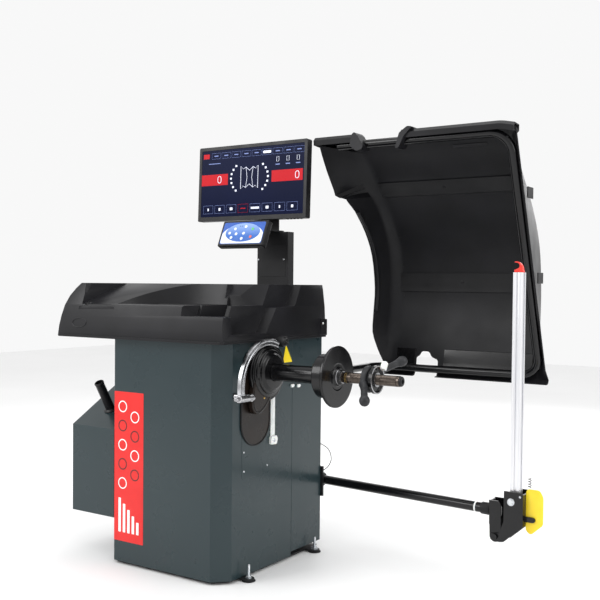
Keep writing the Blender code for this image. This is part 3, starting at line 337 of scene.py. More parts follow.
def black_oxide():
    """Black-oxided turned steel, oiled: gloss black with fine turning lines."""
    made, tree, shader = finish("oiled_black_oxide", 0.14, 0.0, specular_ior_level=0.40)
    tint(tree, shader, "08080a", "101012", 10.0, 3.0, (20, 1, 1))
    polish(tree, shader, 0.13, 0.25, 25.0, (25, 1, 1))
    relief(tree, shader, grain(tree, 0.0012, 2.0, (1, 0.05, 0.05)), 0.00002, 0.35)
    return made


def zinc():
    """Bright zinc plate with clear passivation: silvery, slightly blue, cloudy."""
    made, tree, shader = finish("bright_zinc_plate", 0.28, 1.0)
    tint(tree, shader, "b9bdc2", "dadde0", 60.0)
    polish(tree, shader, 0.22, 0.38, 90.0)
    return made


def cast_iron():
    """Painted sand casting: lumps of 2 mm under a thin black paint."""
    made, tree, shader = finish("painted_sand_casting", 0.45)
    tint(tree, shader, "1c1c1e", "2a2a2c", 20.0)
    relief(tree, shader, grain(tree, 0.0025, 5.0), 0.00025, 0.6)
    return made


def anodised():
    """Extruded and satin-anodised aluminium: white-silver, with die lines along its length."""
    made, tree, shader = finish("satin_anodised_aluminium", 0.34, 1.0)
    tint(tree, shader, "dcdde1", "f0f0f2", 90.0, 2.0, (1, 1, 0.02))
    polish(tree, shader, 0.28, 0.40, 140.0, (1, 1, 0.02))
    return made


def polished_aluminium():
    """Bent and buffed aluminium bar: bright, with buffing marks along the bend."""
    made, tree, shader = finish("buffed_aluminium", 0.22, 1.0)
    tint(tree, shader, "a2a3a6", "c4c5c8", 50.0, 4.0)
    polish(tree, shader, 0.16, 0.32, 45.0)
    relief(tree, shader, grain(tree, 0.003, 5.0), 0.00003, 0.4)
    return made


def acetal():
    """White acetal: slightly translucent white, satin."""
    made, tree, shader = finish("white_acetal", 0.32, subsurface_weight=0.08)
    tint(tree, shader, "e6e6e3", "f2f2ef", 25.0)
    polish(tree, shader, 0.28, 0.40, 40.0)
    return made


def red_plastic():
    """Red moulded ABS: saturated, satin gloss."""
    made, tree, shader = finish("red_moulded_abs", 0.30)
    tint(tree, shader, colours().hook, "ec3a2c", 30.0)
    polish(tree, shader, 0.26, 0.36, 40.0)
    return made


def yellow_enamel():
    """Yellow safety enamel on sheet: gloss with a slight peel, warmer where it is thick."""
    made, tree, shader = finish("yellow_enamel", 0.30, coat_weight=0.3, coat_roughness=0.1)
    tint(tree, shader, colours().plate, "f9dc22", 18.0)
    relief(tree, shader, grain(tree, 0.004), 0.00005, 0.4)
    return made


def vinyl(name, code, second):
    """Cast self-adhesive vinyl: even colour, soft gloss, very slight ripple of the film."""
    made, tree, shader = finish(name, 0.34)
    tint(tree, shader, code, second, 12.0)
    relief(tree, shader, grain(tree, 0.02), 0.00004, 0.3)
    return made


def polyester_film():
    """Printed polyester keypad film: light blue at its top, deep blue below."""
    made, tree, shader = finish("printed_keypad_film", 0.24)
    slide = node(tree, "ShaderNodeSeparateXYZ", {"Vector": object_coordinates(tree)})
    height = node(tree, "ShaderNodeMapRange",
                  {"Value": slide.outputs["Z"], "From Min": 1.180, "From Max": 1.265})
    ramp = node(tree, "ShaderNodeValToRGB", {"Fac": height.outputs["Result"]})
    ramp.color_ramp.elements[0].color = linear("0f4ba2")
    ramp.color_ramp.elements[1].color = linear("8aa8de")
    middle = ramp.color_ramp.elements.new(0.45)
    middle.color = linear("1f62b8")
    tree.links.new(ramp.outputs["Color"], shader.inputs["Base Color"])
    relief(tree, shader, grain(tree, 0.001), 0.00002, 0.3)
    return made


def screen_glass():
    """Anti-glare display polariser, lit from behind in navy."""
    made, tree, shader = finish("display_polariser", 0.22, specular_ior_level=0.04)
    tint(tree, shader, "04081a", "060b22", 6.0)
    shader.inputs["Emission Color"].default_value = linear("0c1a4a")
    shader.inputs["Emission Strength"].default_value = 0.30
    return made


def lit(name, code, strength):
    """A lit part of the display's picture."""
    made, tree, shader = finish(name, 0.30, specular_ior_level=0.1)
    tint(tree, shader, code, code, 4.0)
    shader.inputs["Emission Color"].default_value = linear(code)
    shader.inputs["Emission Strength"].default_value = strength
    return made


def studio_floor():
    """Pale painted studio floor: even, with faint roller mottle."""
    made, tree, shader = finish("pale_studio_paint", 0.62)
    tint(tree, shader, "f1f1f1", "f4f4f4", 0.8)
    return made


MAKERS = {
    "powder": powder_coat, "enamel": gloss_enamel, "satin": satin_enamel, "abs": formed_abs,
    "moulded": moulded_abs, "nylon": filled_nylon, "rubber": rubber, "ground": ground_steel,
    "turned": turned_steel, "oxide": black_oxide, "zinc": zinc, "casting": cast_iron,
    "bronze_black": bronze_black, "brass": yellow_brass, "film_deep": deep_film,
    "anodised": anodised, "buffed": polished_aluminium, "acetal": acetal, "red": red_plastic,
    "yellow": yellow_enamel, "film": polyester_film, "glass": screen_glass, "floor": studio_floor,
    "decal_red": lambda: vinyl("decal_vinyl_red", colours().decal, "df1a15"),
    "decal_white": lambda: vinyl("decal_vinyl_white", "eeeeec", "f6f6f4"),
    "decal_dark": lambda: vinyl("decal_vinyl_dark", "3a0a0b", "481012"),
    "sign_yellow": lambda: vinyl("sign_vinyl_yellow", "f4d60a", "f8de28"),
    "lit_white": lambda: lit("display_white", "e4e8f8", 0.25),
    "lit_blue": lambda: lit("display_blue", "7c8bc0", 0.15),
    "lit_red": lambda: lit("display_red", "b40c1a", 0.20),
    "key_green": lambda: vinyl("key_print_green", "55b86a", "66c47a"),
    "key_red": lambda: vinyl("key_print_red", "d8604c", "e07060"),
    "key_pale": lambda: vinyl("key_print_pale", "dfe8f4", "eef3fa"),
}
MADE = {}


def material(key):
    """The finish of that name, made the first time that it is asked for."""
    if key not in MADE:
        MADE[key] = MAKERS[key]()
    return MADE[key]


# ---------------------------------------------------------------- shapes
AXES = {"X": (Vector((0, 1, 0)), Vector((0, 0, 1)), Vector((1, 0, 0))),
        "Y": (Vector((1, 0, 0)), Vector((0, 0, 1)), Vector((0, 1, 0))),
        "Z": (Vector((1, 0, 0)), Vector((0, 1, 0)), Vector((0, 0, 1)))}
ROUND = 64
# A sheet's fold is longer than this; edges sharper than the crease angle shade as edges.
LONG_FOLD = 0.15
CREASE = math.radians(32)


def arc(centre, radius, start, end, steps):
    """Points on a circle, angles in degrees, both ends included."""
    points = []
    for step in range(steps + 1):
        angle = math.radians(start + (end - start) * step / steps)
        points.append((centre[0] + radius * math.cos(angle), centre[1] + radius * math.sin(angle)))
    return points


def oblong(low, high, radius, steps=6):
    """A rectangle from its low to its high corner, with round corners."""
    (a, b), (c, d) = low, high
    return (arc((c - radius, d - radius), radius, 0, 90, steps)
            + arc((a + radius, d - radius), radius, 90, 180, steps)
            + arc((a + radius, b + radius), radius, 180, 270, steps)
            + arc((c - radius, b + radius), radius, 270, 360, steps))


def eased(first, corner, last, steps):
    """Points of a smooth turn from first to last, drawn towards the corner."""
    shares = [step / steps for step in range(steps + 1)]
    return [(1 - share) ** 2 * first + 2 * share * (1 - share) * corner + share ** 2 * last
            for share in shares]


def rounded(outline, radius, steps=5):
    """A closed outline with each of its corners rounded."""
    points = []
    for index, corner in enumerate(outline):
        corner = Vector(corner)
        back = Vector(outline[index - 1]) - corner
        ahead = Vector(outline[(index + 1) % len(outline)]) - corner
        reach = min(radius, back.length * 0.45, ahead.length * 0.45)
        first = corner + back.normalized() * reach
        last = corner + ahead.normalized() * reach
        points += [tuple(point) for point in eased(first, corner, last, steps)]
    return points


def smooth_path(corners, steps):
    """Catmull-Rom points through the corners."""
    corners = [Vector(corner) for corner in corners]
    ends = [corners[0] * 2 - corners[1], *corners, corners[-1] * 2 - corners[-2]]
    points = [corners[0]]
    for a, b, c, d in zip(ends, ends[1:], ends[2:], ends[3:]):
        for step in range(1, steps + 1):
            t = step / steps
            curve = 2 * b + (c - a) * t + (2 * a - 5 * b + 4 * c - d) * t ** 2
            curve += (3 * b - a - 3 * c + d) * t ** 3
            points.append(curve / 2)
    return points


def bent_path(corners, radius, steps=14):
    """A path through corners, each inner one bent to the radius."""
    points = [corners[0]]
    for before, corner, after in zip(corners, corners[1:], corners[2:]):
        inward = (before - corner).normalized()
        outward = (after - corner).normalized()
        half = inward.angle(outward) / 2
        reach = radius / math.tan(half)
        centre = corner + (inward + outward).normalized() * (radius / math.sin(half))
        first = corner + inward * reach - centre
        last = corner + outward * reach - centre
        swing = first.angle(last)
        for step in range(steps + 1):
            share = step / steps
            spot = first * math.sin((1 - share) * swing) + last * math.sin(share * swing)
            points.append(centre + spot / math.sin(swing))
    points.append(corners[-1])
    return points


def skin(bm, rows, closed=False):
    """Faces between closed rows of vertices, with a cap at each end unless they form a loop."""
    pairs = list(zip(rows, rows[1:]))
    if closed:
        pairs.append((rows[-1], rows[0]))
    else:
        bm.faces.new(reversed(rows[0]))
        bm.faces.new(rows[-1])
    for low, high in pairs:
        for step in range(len(low)):
            after = (step + 1) % len(low)
            bm.faces.new((low[step], low[after], high[after], high[step]))


def prism(bm, outline, axis, low, high):
    """Push a flat outline along an axis. Outline pairs are (y,z), (x,z) or (x,y)."""
    first, second, along = AXES[axis]
    rows = []
    for height in (low, high):
        rows.append([bm.verts.new(first * a + second * b + along * height) for a, b in outline])
    skin(bm, rows)
    return rows[0] + rows[1]


def brick(bm, low, high):
    """A plain block, as one part of a piece."""
    return prism(bm, [(low[0], low[1]), (high[0], low[1]), (high[0], high[1]), (low[0], high[1])],
                 "Z", low[2], high[2])


def lathe(bm, profile, centre, direction, segments=ROUND, ring=False, turn=0.0):
    """Turn (height, radius) pairs about a line; a ring's profile closes on itself."""
    lean = Vector((0, 0, 1)).rotation_difference(Vector(direction)).to_matrix().to_4x4()
    place = Matrix.Translation(Vector(centre)) @ lean @ Matrix.Rotation(turn, 4, "Z")
    rows = []
    for height, radius in profile:
        if radius == 0.0:
            rows.append([bm.verts.new(place @ Vector((0, 0, height)))])
            continue
        row = []
        for step in range(segments):
            angle = 2 * math.pi * step / segments
            spot = Vector((radius * math.cos(angle), radius * math.sin(angle), height))
            row.append(bm.verts.new(place @ spot))
        rows.append(row)
    pairs = list(zip(rows, rows[1:]))
    if ring:
        pairs.append((rows[-1], rows[0]))
    for low, high in pairs:
        for step in range(segments):
            after = (step + 1) % segments
            if len(low) == 1:
                bm.faces.new((low[0], high[after], high[step]))
            elif len(high) == 1:
                bm.faces.new((low[step], low[after], high[0]))
            else:
                bm.faces.new((low[step], low[after], high[after], high[step]))


def disc(radius, height):
    """Profile of a plain disc for lathe()."""
    return [(0, 0.0), (0, radius), (height, radius), (height, 0.0)]


def band(inner, outer, height):
    """Profile of a plain band for lathe(), as a ring."""
    return [(0, inner), (0, outer), (height, outer), (height, inner)]


def sweep(bm, points, section, scales=None, closed=False):
    """Carry a closed section of (side, up) pairs along a path without twisting it."""
    points = [Vector(point) for point in points]
    count = len(points)
    forward = (points[1] - points[0]).normalized()
    up = forward.orthogonal().normalized()
    if abs(forward.x) < 0.9:
        up = (Vector((1, 0, 0)) - forward * forward.x).normalized()
    rows = []
    for index, point in enumerate(points):
        before = points[index - 1] if index or closed else point
        after = points[(index + 1) % count] if index < count - 1 or closed else point
        fresh = (after - before).normalized()
        up = (forward.rotation_difference(fresh) @ up).normalized()
        forward = fresh
        side = forward.cross(up)
        grow = scales[index] if scales else 1.0
        rows.append([bm.verts.new(point + (side * a + up * b) * grow) for a, b in section])
    skin(bm, rows, closed)


def circle(radius, count=24):
    """A round section for sweep()."""
    angles = [2 * math.pi * step / count for step in range(count)]
    return [(radius * math.cos(angle), radius * math.sin(angle)) for angle in angles]


def keep(name, bm, key):
    """Turn a bmesh into an object whose origin is the cabinet's front right corner."""
    bmesh.ops.recalc_face_normals(bm, faces=bm.faces)
    mesh = bpy.data.meshes.new(name)
    bm.to_mesh(mesh)
    bm.free()
    mesh.materials.append(material(key))
    mesh.shade_smooth()
    mesh.set_sharp_from_angle(angle=CREASE)
    obj = bpy.data.objects.new(name, mesh)
    bpy.context.scene.collection.objects.link(obj)
    obj.location = CORNER
    return obj


def bake(obj):
    """Replace an object's mesh by what its modifiers make of it."""
    graph = bpy.context.evaluated_depsgraph_get()
    mesh = bpy.data.meshes.new_from_object(obj.evaluated_get(graph))
    obj.modifiers.clear()
    obj.data = mesh
    mesh.shade_smooth()
    mesh.set_sharp_from_angle(angle=CREASE)
    return obj


def combine(obj, others, operation):
    """Boolean each of the others into the object, and remove them."""
    for other in others:
        modifier = obj.modifiers.new(operation.lower(), "BOOLEAN")
        modifier.operation = operation
        modifier.solver = "EXACT"
        modifier.object = other
        bake(obj)
        bpy.data.objects.remove(other, do_unlink=True)
    return obj


def soften(obj, width, segments=2, angle=30, weighted=False):
    """Round the object's creases."""
    edge = obj.modifiers.new("edge", "BEVEL")
    edge.width = width
    edge.segments = segments
    edge.limit_method = "WEIGHT" if weighted else "ANGLE"
    edge.angle_limit = math.radians(angle)
    edge.miter_outer = "MITER_ARC"
    return obj


def settle(obj, body, slot, *nodes):
    """The finished piece rides on a body and stands for CAD nodes; the slot is not used."""
    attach(obj, body)
    if nodes:
        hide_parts(*nodes)
    return obj


def build(name, bm, key, body, slot, *nodes, edge=0.0, segments=2):
    """A piece in one step, from its bmesh."""
    obj = keep(name, bm, key)
    if edge:
        soften(obj, edge, segments)
    return settle(obj, body, slot, *nodes)


def creased(name, key, wide, fine=0.0004, along="Z", segments=3):
    """A copy of a CAD node whose long folds are round and whose other creases are just broken."""
    folds = [AXES[axis][2] for axis in along]
    source = FRAME["nodes"][name]
    bm = bmesh.new()
    bm.from_mesh(source.data)
    bmesh.ops.remove_doubles(bm, verts=bm.verts, dist=0.00001)
    bmesh.ops.dissolve_limit(bm, angle_limit=math.radians(1), verts=bm.verts, edges=bm.edges)
    weight = bm.edges.layers.float.new("bevel_weight_edge")
    for edge in bm.edges:
        if len(edge.link_faces) != 2 or edge.calc_face_angle(0.0) < math.radians(25):
            continue
        run = edge.verts[1].co - edge.verts[0].co
        fold = run.length > LONG_FOLD and any(abs(run.normalized().dot(axis)) > 0.999 for axis in folds)
        edge[weight] = 1.0 if fold else fine / wide
    obj = keep(name + "_finished", bm, key)
    obj.location = (0, 0, 0)
    soften(obj, wide, segments, weighted=True)
    return settle(obj, source["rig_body"], SLOTS[name], name)


def refinish(key, *names):
    """Give CAD nodes that keep their shape a better material."""
    for name in names:
        obj = FRAME["nodes"][name]
        obj.data.materials.clear()
        obj.data.materials.append(material(key))


def screws(name, spots, direction, radius, key, body, slot, dome=0.45):
    """Domed heads with a small round recess, at places on a face that looks along direction."""
    bm = bmesh.new()
    for spot in spots:
        profile = [(0, 0.0), (0, radius), (radius * dome * 0.5, radius * 0.92),
                   (radius * dome * 0.9, radius * 0.62), (radius * dome, radius * 0.30),
                   (radius * dome * 0.35, radius * 0.16), (radius * dome * 0.35, 0.0)]
        lathe(bm, profile, spot, direction, 20)
    return build(name, bm, key, body, slot)


# ---------------------------------------------------------------- cabinet
def cabinet_shells():
    """Folded sheets with round bends, the storage box, the base and the cone peg."""
    radius = sizes().sheet_radius
    creased("cabinet_front", "powder", radius)
    creased("cabinet_rear", "powder", radius)
    creased("side_box", "powder", 0.0011, along="XYZ")
    creased("base_plate", "satin", 0.0008, fine=0.0008)
    refinish("powder", "cabinet_top")
    peg = [(0.0003, 0.0145), (0.0003, 0.0262), (0.004, 0.0268), (0.006, 0.0215), (0.009, 0.0178),
           (0.118, 0.0172), (0.122, 0.0186), (0.127, 0.0186), (0.129, 0.0165), (0.129, 0.0145)]
    lean = math.radians(30)
    foot = (-0.668, 0.145, 0.481 + 0.095 * math.tan(lean))
    bm = bmesh.new()
    lathe(bm, peg, foot, (0, -math.sin(lean), math.cos(lean)), 40, ring=True)
    build("cone_peg_tube", bm, "moulded", "frame", "black_plastic", "cone_peg", edge=0.0008)


def cabinet_fixings():
    """Rivets and hatch on the right wall; hatch, louvres and screws on the back."""
    screws("wall_rivets", [(0.0006, 0.118, 0.445), (0.0006, 0.119, 0.378), (0.0006, 0.258, 0.379)],
           (1, 0, 0), 0.0036, "zinc", "frame", "zinc_plate")
    bm = bmesh.new()
    prism(bm, oblong((0.106, 0.350), (0.270, 0.520), 0.012), "X", 0.0, 0.0007)
    build("wall_hatch", bm, "powder", "frame", "cabinet_paint", edge=0.0003)
    back = CABINET_BACK
    bm = bmesh.new()
    prism(bm, oblong((-0.500, 0.300), (-0.230, 0.600), 0.010), "Y", back, back + 0.0012)
    build("rear_hatch", bm, "powder", "frame", "cabinet_paint", edge=0.0004)
    spots = [(x, back + 0.0012, z) for x in (-0.488, -0.365, -0.242) for z in (0.312, 0.588)]
    spots += [(x, back, z) for x in (-0.540, -0.015) for z in (0.060, 0.360, 0.560, 0.790)]
    screws("rear_screws", spots, (0, 1, 0), 0.0045, "zinc", "frame", "zinc_plate")
    bm = bmesh.new()
    for row in range(8):
        z = 0.345 + row * 0.030
        lip = [(back + 0.0010, z), (back + 0.0075, z + 0.001), (back + 0.0080, z + 0.003),
               (back + 0.0010, z + 0.017)]
        prism(bm, lip, "X", -0.440, -0.290)
    build("rear_louvres", bm, "powder", "frame", "cabinet_paint", edge=0.0008)
    bm = bmesh.new()
    for y, z in ((0.4127, 0.6509), (0.4544, 0.6472)):
        prism(bm, rounded([(y - 0.009, z - 0.005), (y + 0.009, z - 0.005), (y + 0.009, z + 0.005),
                           (y - 0.009, z + 0.005)], 0.004), "X", 0.0, 0.006)
        sweep(bm, [(0.004, y - 0.012, z + 0.004), (0.007, y, z + 0.006), (0.004, y + 0.012, z + 0.002)],
              circle(0.0022, 10))
    build("wire_clips", bm, "acetal", "frame", "white_plastic", edge=0.0008)


def warning_triangle():
    """Plain yellow triangle on the right wall, with nothing on it."""
    bm = bmesh.new()
    prism(bm, rounded([(0.352, 0.741), (0.415, 0.741), (0.3725, 0.806)], 0.004), "X", 0.0, 0.0005)
    build("wall_sign", bm, "sign_yellow", "frame", "yellow_paint")


def front_decal():
    """Red panel with plain outlined rings and bars."""
    left, right, low, high = -0.503, -0.360, 0.087, 0.634
    film, ink = -0.0005, -0.0009
    bm = bmesh.new()
    prism(bm, oblong((left, low), (right, high), 0.003), "Y", film, 0.0)
    build("decal_panel", bm, "decal_red", "frame", "red_plastic")
    middle = (left + right) / 2
    west, east = middle - 0.030, middle + 0.030
    white = [(west, 0.580), (east, 0.545), (west, 0.440), (east, 0.405), (west, 0.300)]
    dark = [(east, 0.475), (west, 0.510), (west, 0.370), (east, 0.335)]
    for name, spots, key in (("decal_rings_pale", white, "decal_white"),
                             ("decal_rings_dark", dark, "decal_dark")):
        bm = bmesh.new()
        for x, z in spots:
            lathe(bm, band(0.0172, 0.0212, 0.0004), (x, film, z), (0, -1, 0), 40, ring=True)
        build(name, bm, key, "frame", "white_plastic")
    bm = bmesh.new()
    for step in range(5):
        x, crest = left + 0.028 + step * 0.022, 0.245 - 0.020 * step
        prism(bm, oblong((x - 0.006, 0.120), (x + 0.006, crest), 0.002, 3), "Y", ink, film)
    build("decal_bars", bm, "decal_white", "frame", "white_plastic")


def floor_feet():
    """Rubber pads, threaded studs, nuts and washers."""
    pad = [(0, 0.0), (0, 0.0225), (0.0015, 0.0240), (0.0035, 0.0240), (0.0050, 0.0215),
           (0.0050, 0.0)]
    nut = [(0, 0.0), (0, 0.0092), (0.0010, 0.0102), (0.0070, 0.0102), (0.0080, 0.0092),
           (0.0080, 0.0)]
    for corner in ("fr", "rr", "l"):
        stud = "anchor_stud_" + corner
        x, y = middle_of(stud).xy
        bm = bmesh.new()
        lathe(bm, pad, (x, y, 0), (0, 0, 1), 48)
        build("floor_pad_" + corner, bm, "rubber", "frame", "black_rubber", "foot_pad_" + corner,
              edge=0.0005)
        bm = bmesh.new()
        bolt = [(0, 0.0), (0, 0.0046)]
        for step in range(30):
            bolt += [(0.001 + step * 0.0016, 0.0050), (0.0018 + step * 0.0016, 0.0044)]
        bolt += [(0.0515, 0.0044), (0.0525, 0.0036), (0.0525, 0.0)]
        lathe(bm, bolt, (x, y, 0.0056), (0, 0, 1), 24)
        lathe(bm, nut, (x, y, 0.0124), (0, 0, 1), 6)
        lathe(bm, disc(0.0125, 0.0008), (x, y, 0.0115), (0, 0, 1), 32)
        build("levelling_stud_" + corner, bm, "zinc", "frame", "zinc_plate", stud)


# ---------------------------------------------------------------- weight tray
ABOVE_TRAY = 1.080
TRAY_WALL = 0.0034


def tray_cut(low, high, z_low, z_high):
    """A closed solid between one outline at its floor and another above it."""
    bm = bmesh.new()
    rows = []
    for outline, z in ((low, z_low), (high, z_high)):
        rows.append([bm.verts.new((x, y, z)) for x, y in outline])
    skin(bm, rows)
    return keep("cut", bm, "abs")


def drafted(low, high, draft, floor):
    """A pocket's cut: a rectangle that opens by the draft on its way up."""
    (a, b), (c, d) = low, high
    inner = [(a, b), (c, b), (c, d), (a, d)]
    outer = [(a - draft, b - draft), (c + draft, b - draft),
             (c + draft, d + draft), (a - draft, d + draft)]
    return tray_cut(inner, outer, floor, ABOVE_TRAY)


def tray_body():
    """Formed skin: a block with round sides, its shelf, steps and pockets, then a thin shell."""
    levels = [(TRAY_LOW.z, -0.765, -0.038, 0.0220), (0.868, -0.762, -0.034, 0.0205),
              (0.905, -0.756, -0.028, 0.0180), (0.945, -0.746, -0.020, 0.0160),
              (0.980, -0.731, -0.008, 0.0120), (1.008, -0.710, 0.003, 0.0080),
              (1.028, -0.690, 0.012, 0.0040)]
    bm = bmesh.new()
    rings = []
    for z, left, front, right in levels:
        corners = ((left, front), (right, front), (right, 0.615), (left, 0.615))
        rings.append([bm.verts.new((x, y, z)) for x, y in corners])
    skin(bm, rings)
    body = keep("tray_skin", bm, "abs")
    # The curved basin across the front, then the deck behind it and the steps at the right.
    basin_back = smooth_path([(-0.492, -0.060), (-0.482, 0.000), (-0.445, 0.085), (-0.385, 0.150),
                              (-0.310, 0.192), (-0.220, 0.212), (-0.111, 0.215)], 3)
    basin_low = [tuple(p) for p in basin_back] + [(-0.020, 0.262), (0.100, 0.262), (0.100, -0.060)]
    slant = [0.030 * min(1.0, max(0.0, (y + 0.06) / 0.12)) for _, y in basin_low[:-3]]
    basin_top = [(x - 0.010, y + rise) for (x, y), rise in zip(basin_low[:-3], slant)]
    basin_top += [(-0.020, 0.330), (0.130, 0.330), (0.130, -0.090)]
    deck = [(-0.08, 0.950), (-0.016, 0.950), (0.240, 1.036), (0.300, ABOVE_TRAY),
            (-0.08, ABOVE_TRAY)]
    middle_step = [(-0.08, 0.917), (0.060, 0.917), (0.075, 0.953), (0.200, 0.955),
                   (0.320, ABOVE_TRAY), (-0.08, ABOVE_TRAY)]
    side_step = [(0.018, 0.856), (0.215, 0.856), (0.284, 0.944), (0.4055, 0.949), (0.463, 1.030),
                 (0.480, ABOVE_TRAY), (0.018, ABOVE_TRAY)]
    cuts = [tray_cut(basin_low, basin_top, 0.953, ABOVE_TRAY)]
    for outline, left, right in ((deck, -0.655, -0.150), (middle_step, -0.166, 0.11),
                                 (side_step, -0.026, 0.12)):
        bm = bmesh.new()
        prism(bm, outline, "X", left, right)
        cuts.append(keep("cut", bm, "abs"))
    # Pockets: front, rear middle, front right, rear right and rear left.
    cuts += [drafted((-0.400, 0.030), (-0.215, 0.120), 0.010, 0.895),
             drafted((-0.480, 0.330), (-0.215, 0.560), 0.022, 0.905),
             drafted((-0.150, 0.022), (-0.046, 0.225), 0.008, 0.846),
             drafted((-0.160, 0.370), (-0.060, 0.560), 0.016, 0.900),
             drafted((-0.640, 0.330), (-0.530, 0.560), 0.018, 0.900)]
    # The conical dimple at the front left.
    bm = bmesh.new()
    lathe(bm, [(0, 0.0), (0.125, 0.036), (0.16, 0.044), (0.16, 0.0)], (-0.632, -0.014, 0.908),
          (0, 0.12, 1), 28)
    cuts.append(keep("cut", bm, "abs"))
    combine(body, cuts, "DIFFERENCE")
    bm = bmesh.new()
    bm.from_mesh(body.data)
    bmesh.ops.remove_doubles(bm, verts=bm.verts, dist=0.0008)
    bmesh.ops.dissolve_limit(bm, angle_limit=math.radians(2), verts=bm.verts, edges=bm.edges)
    bm.to_mesh(body.data)
    bm.free()
    soften(body, sizes().mould_radius, 3, 26)
    bake(body)
    bm = bmesh.new()
    bm.from_mesh(body.data)
    # The block's underside goes, so that the skin is open below.
    floor = TRAY_LOW.z + sizes().mould_radius * 1.02
    under = [face for face in bm.faces if face.calc_center_median().z < floor and face.normal.z < -0.2]
    bmesh.ops.delete(bm, geom=under, context="FACES")
    bmesh.ops.remove_doubles(bm, verts=bm.verts, dist=0.0002)
    bm.to_mesh(body.data)
    bm.free()
    thick = body.modifiers.new("skin", "SOLIDIFY")
    thick.thickness = TRAY_WALL
    thick.offset = -1.0
    thick.use_even_offset = False
    return settle(body, "frame", "black_plastic", "weight_tray")


def tray_details():
    """Rolled lip, oval boss on the front left, clip and screw at the rear right."""
    z = TRAY_LOW.z + 0.0022
    corners = ((-0.766, 0.612), (-0.766, -0.039), (0.0235, -0.039), (0.0235, 0.612))
    path = bent_path([Vector((x, y, z)) for x, y in corners], 0.012, 8)
    bm = bmesh.new()
    sweep(bm, path, [(-0.0045, -0.0018), (0.0045, -0.0018), (0.0045, 0.0018), (-0.0045, 0.0018)])
    build("tray_lip", bm, "abs", "frame", "black_plastic", edge=0.0008)
    bm = bmesh.new()
    ring = []
    for step in range(40):
        angle = 2 * math.pi * step / 40
        spot_z = 0.880 + 0.0165 * math.sin(angle)
        ring.append((-0.656 + 0.0355 * math.cos(angle), -0.0335 + (spot_z - 0.868) * 0.16, spot_z))
    sweep(bm, ring, circle(0.0022, 10), closed=True)
    build("tray_oval", bm, "abs", "frame", "black_plastic")
    bm = bmesh.new()
    prism(bm, rounded([(0.578, 0.833), (0.622, 0.833), (0.622, 0.895), (0.578, 0.900)], 0.003), "X",
          0.0195, 0.0235)
    build("tray_clip", bm, "moulded", "frame", "black_plastic", edge=0.0006)
    screws("tray_screw", [(0.0235, 0.592, 0.880)], (1, 0, 0), 0.0046, "acetal", "frame",
           "white_plastic")


# ---------------------------------------------------------------- right wall
def wall_pieces():
    """Slot cover, stepped boss with its lobe, and the scale holder strip."""
    centre, radius, high, low = 0.182, 0.0865, 0.722, 0.5465
    edge = arc((centre, high), radius, 0, 180, 28) + arc((centre, low), radius, 180, 360, 28)
    bm = bmesh.new()
    prism(bm, edge, "X", 0.0003, 0.0038)
    build("slot_cover_plate", bm, "bronze_black", "frame", "black_plastic", "side_cover", edge=0.0008)
    bm = bmesh.new()
    inset = radius - 0.003
    rim = arc((centre, high), inset, 0, 180, 28) + arc((centre, low), inset, 180, 360, 28)
    sweep(bm, [(0.0038, y, z) for y, z in rim], circle(0.0029, 12), closed=True)
    build("slot_cover_rim", bm, "moulded", "frame", "black_plastic")
    start = 0.0068
    steps = [(0.0, 0.0308), (0.0, 0.098), (0.012, 0.104), (0.016, 0.103), (0.016, 0.090),
             (0.024, 0.089), (0.026, 0.079), (0.034, 0.077), (0.036, 0.068), (0.044, 0.060),
             (0.046, 0.0308)]
    bm = bmesh.new()
    lathe(bm, steps, (start, SPINDLE.y, SPINDLE.z), (1, 0, 0), 96, ring=True)
    build("boss_rings", bm, "enamel", "frame", "black_paint", "spindle_boss", edge=0.0022, segments=3)
    lobe = smooth_path([(0.290, 0.690), (0.264, 0.657), (0.2437, 0.629), (0.216, 0.601), (0.186, 0.580),
                        (0.160, 0.575), (0.140, 0.587), (0.1310, 0.612), (0.1335, 0.650),
                        (0.150, 0.700)], 5)
    bm = bmesh.new()
    prism(bm, [tuple(p) for p in lobe], "X", start, start + 0.0215)
    build("boss_lobe", bm, "bronze_black", "frame", "black_paint", edge=0.004, segments=3)
    bm = bmesh.new()
    rib = smooth_path([(0.142, 0.660), (0.1375, 0.615), (0.150, 0.588), (0.172, 0.584), (0.200, 0.598),
                       (0.236, 0.634), (0.252, 0.655)], 5)
    sweep(bm, [(start + 0.0215, y, z) for y, z in rib], circle(0.0016, 8))
    build("boss_lobe_rib", bm, "moulded", "frame", "black_paint")
    screws("lobe_screw", [(start + 0.0215, 0.1989, 0.6293)], (1, 0, 0), 0.0042, "brass", "frame",
           "machined_steel")
    bm = bmesh.new()
    prism(bm, oblong((0.2740, 0.476), (0.2985, 0.664), 0.003), "X", 0.0003, 0.0052)
    prism(bm, oblong((0.2800, 0.484), (0.2925, 0.655), 0.003), "X", 0.0052, 0.0068)
    prism(bm, rounded([(0.2690, 0.452), (0.3030, 0.450), (0.3100, 0.468), (0.3030, 0.482),
                       (0.2690, 0.480)], 0.005), "X", 0.0003, 0.0110)
    build("scale_holder", bm, "acetal", "frame", "white_plastic", "holder_strip", edge=0.0008)
    screws("holder_bolt", [(0.0110, 0.286, 0.4655)], (1, 0, 0), 0.0062, "zinc", "frame",
           "zinc_plate", dome=0.6)


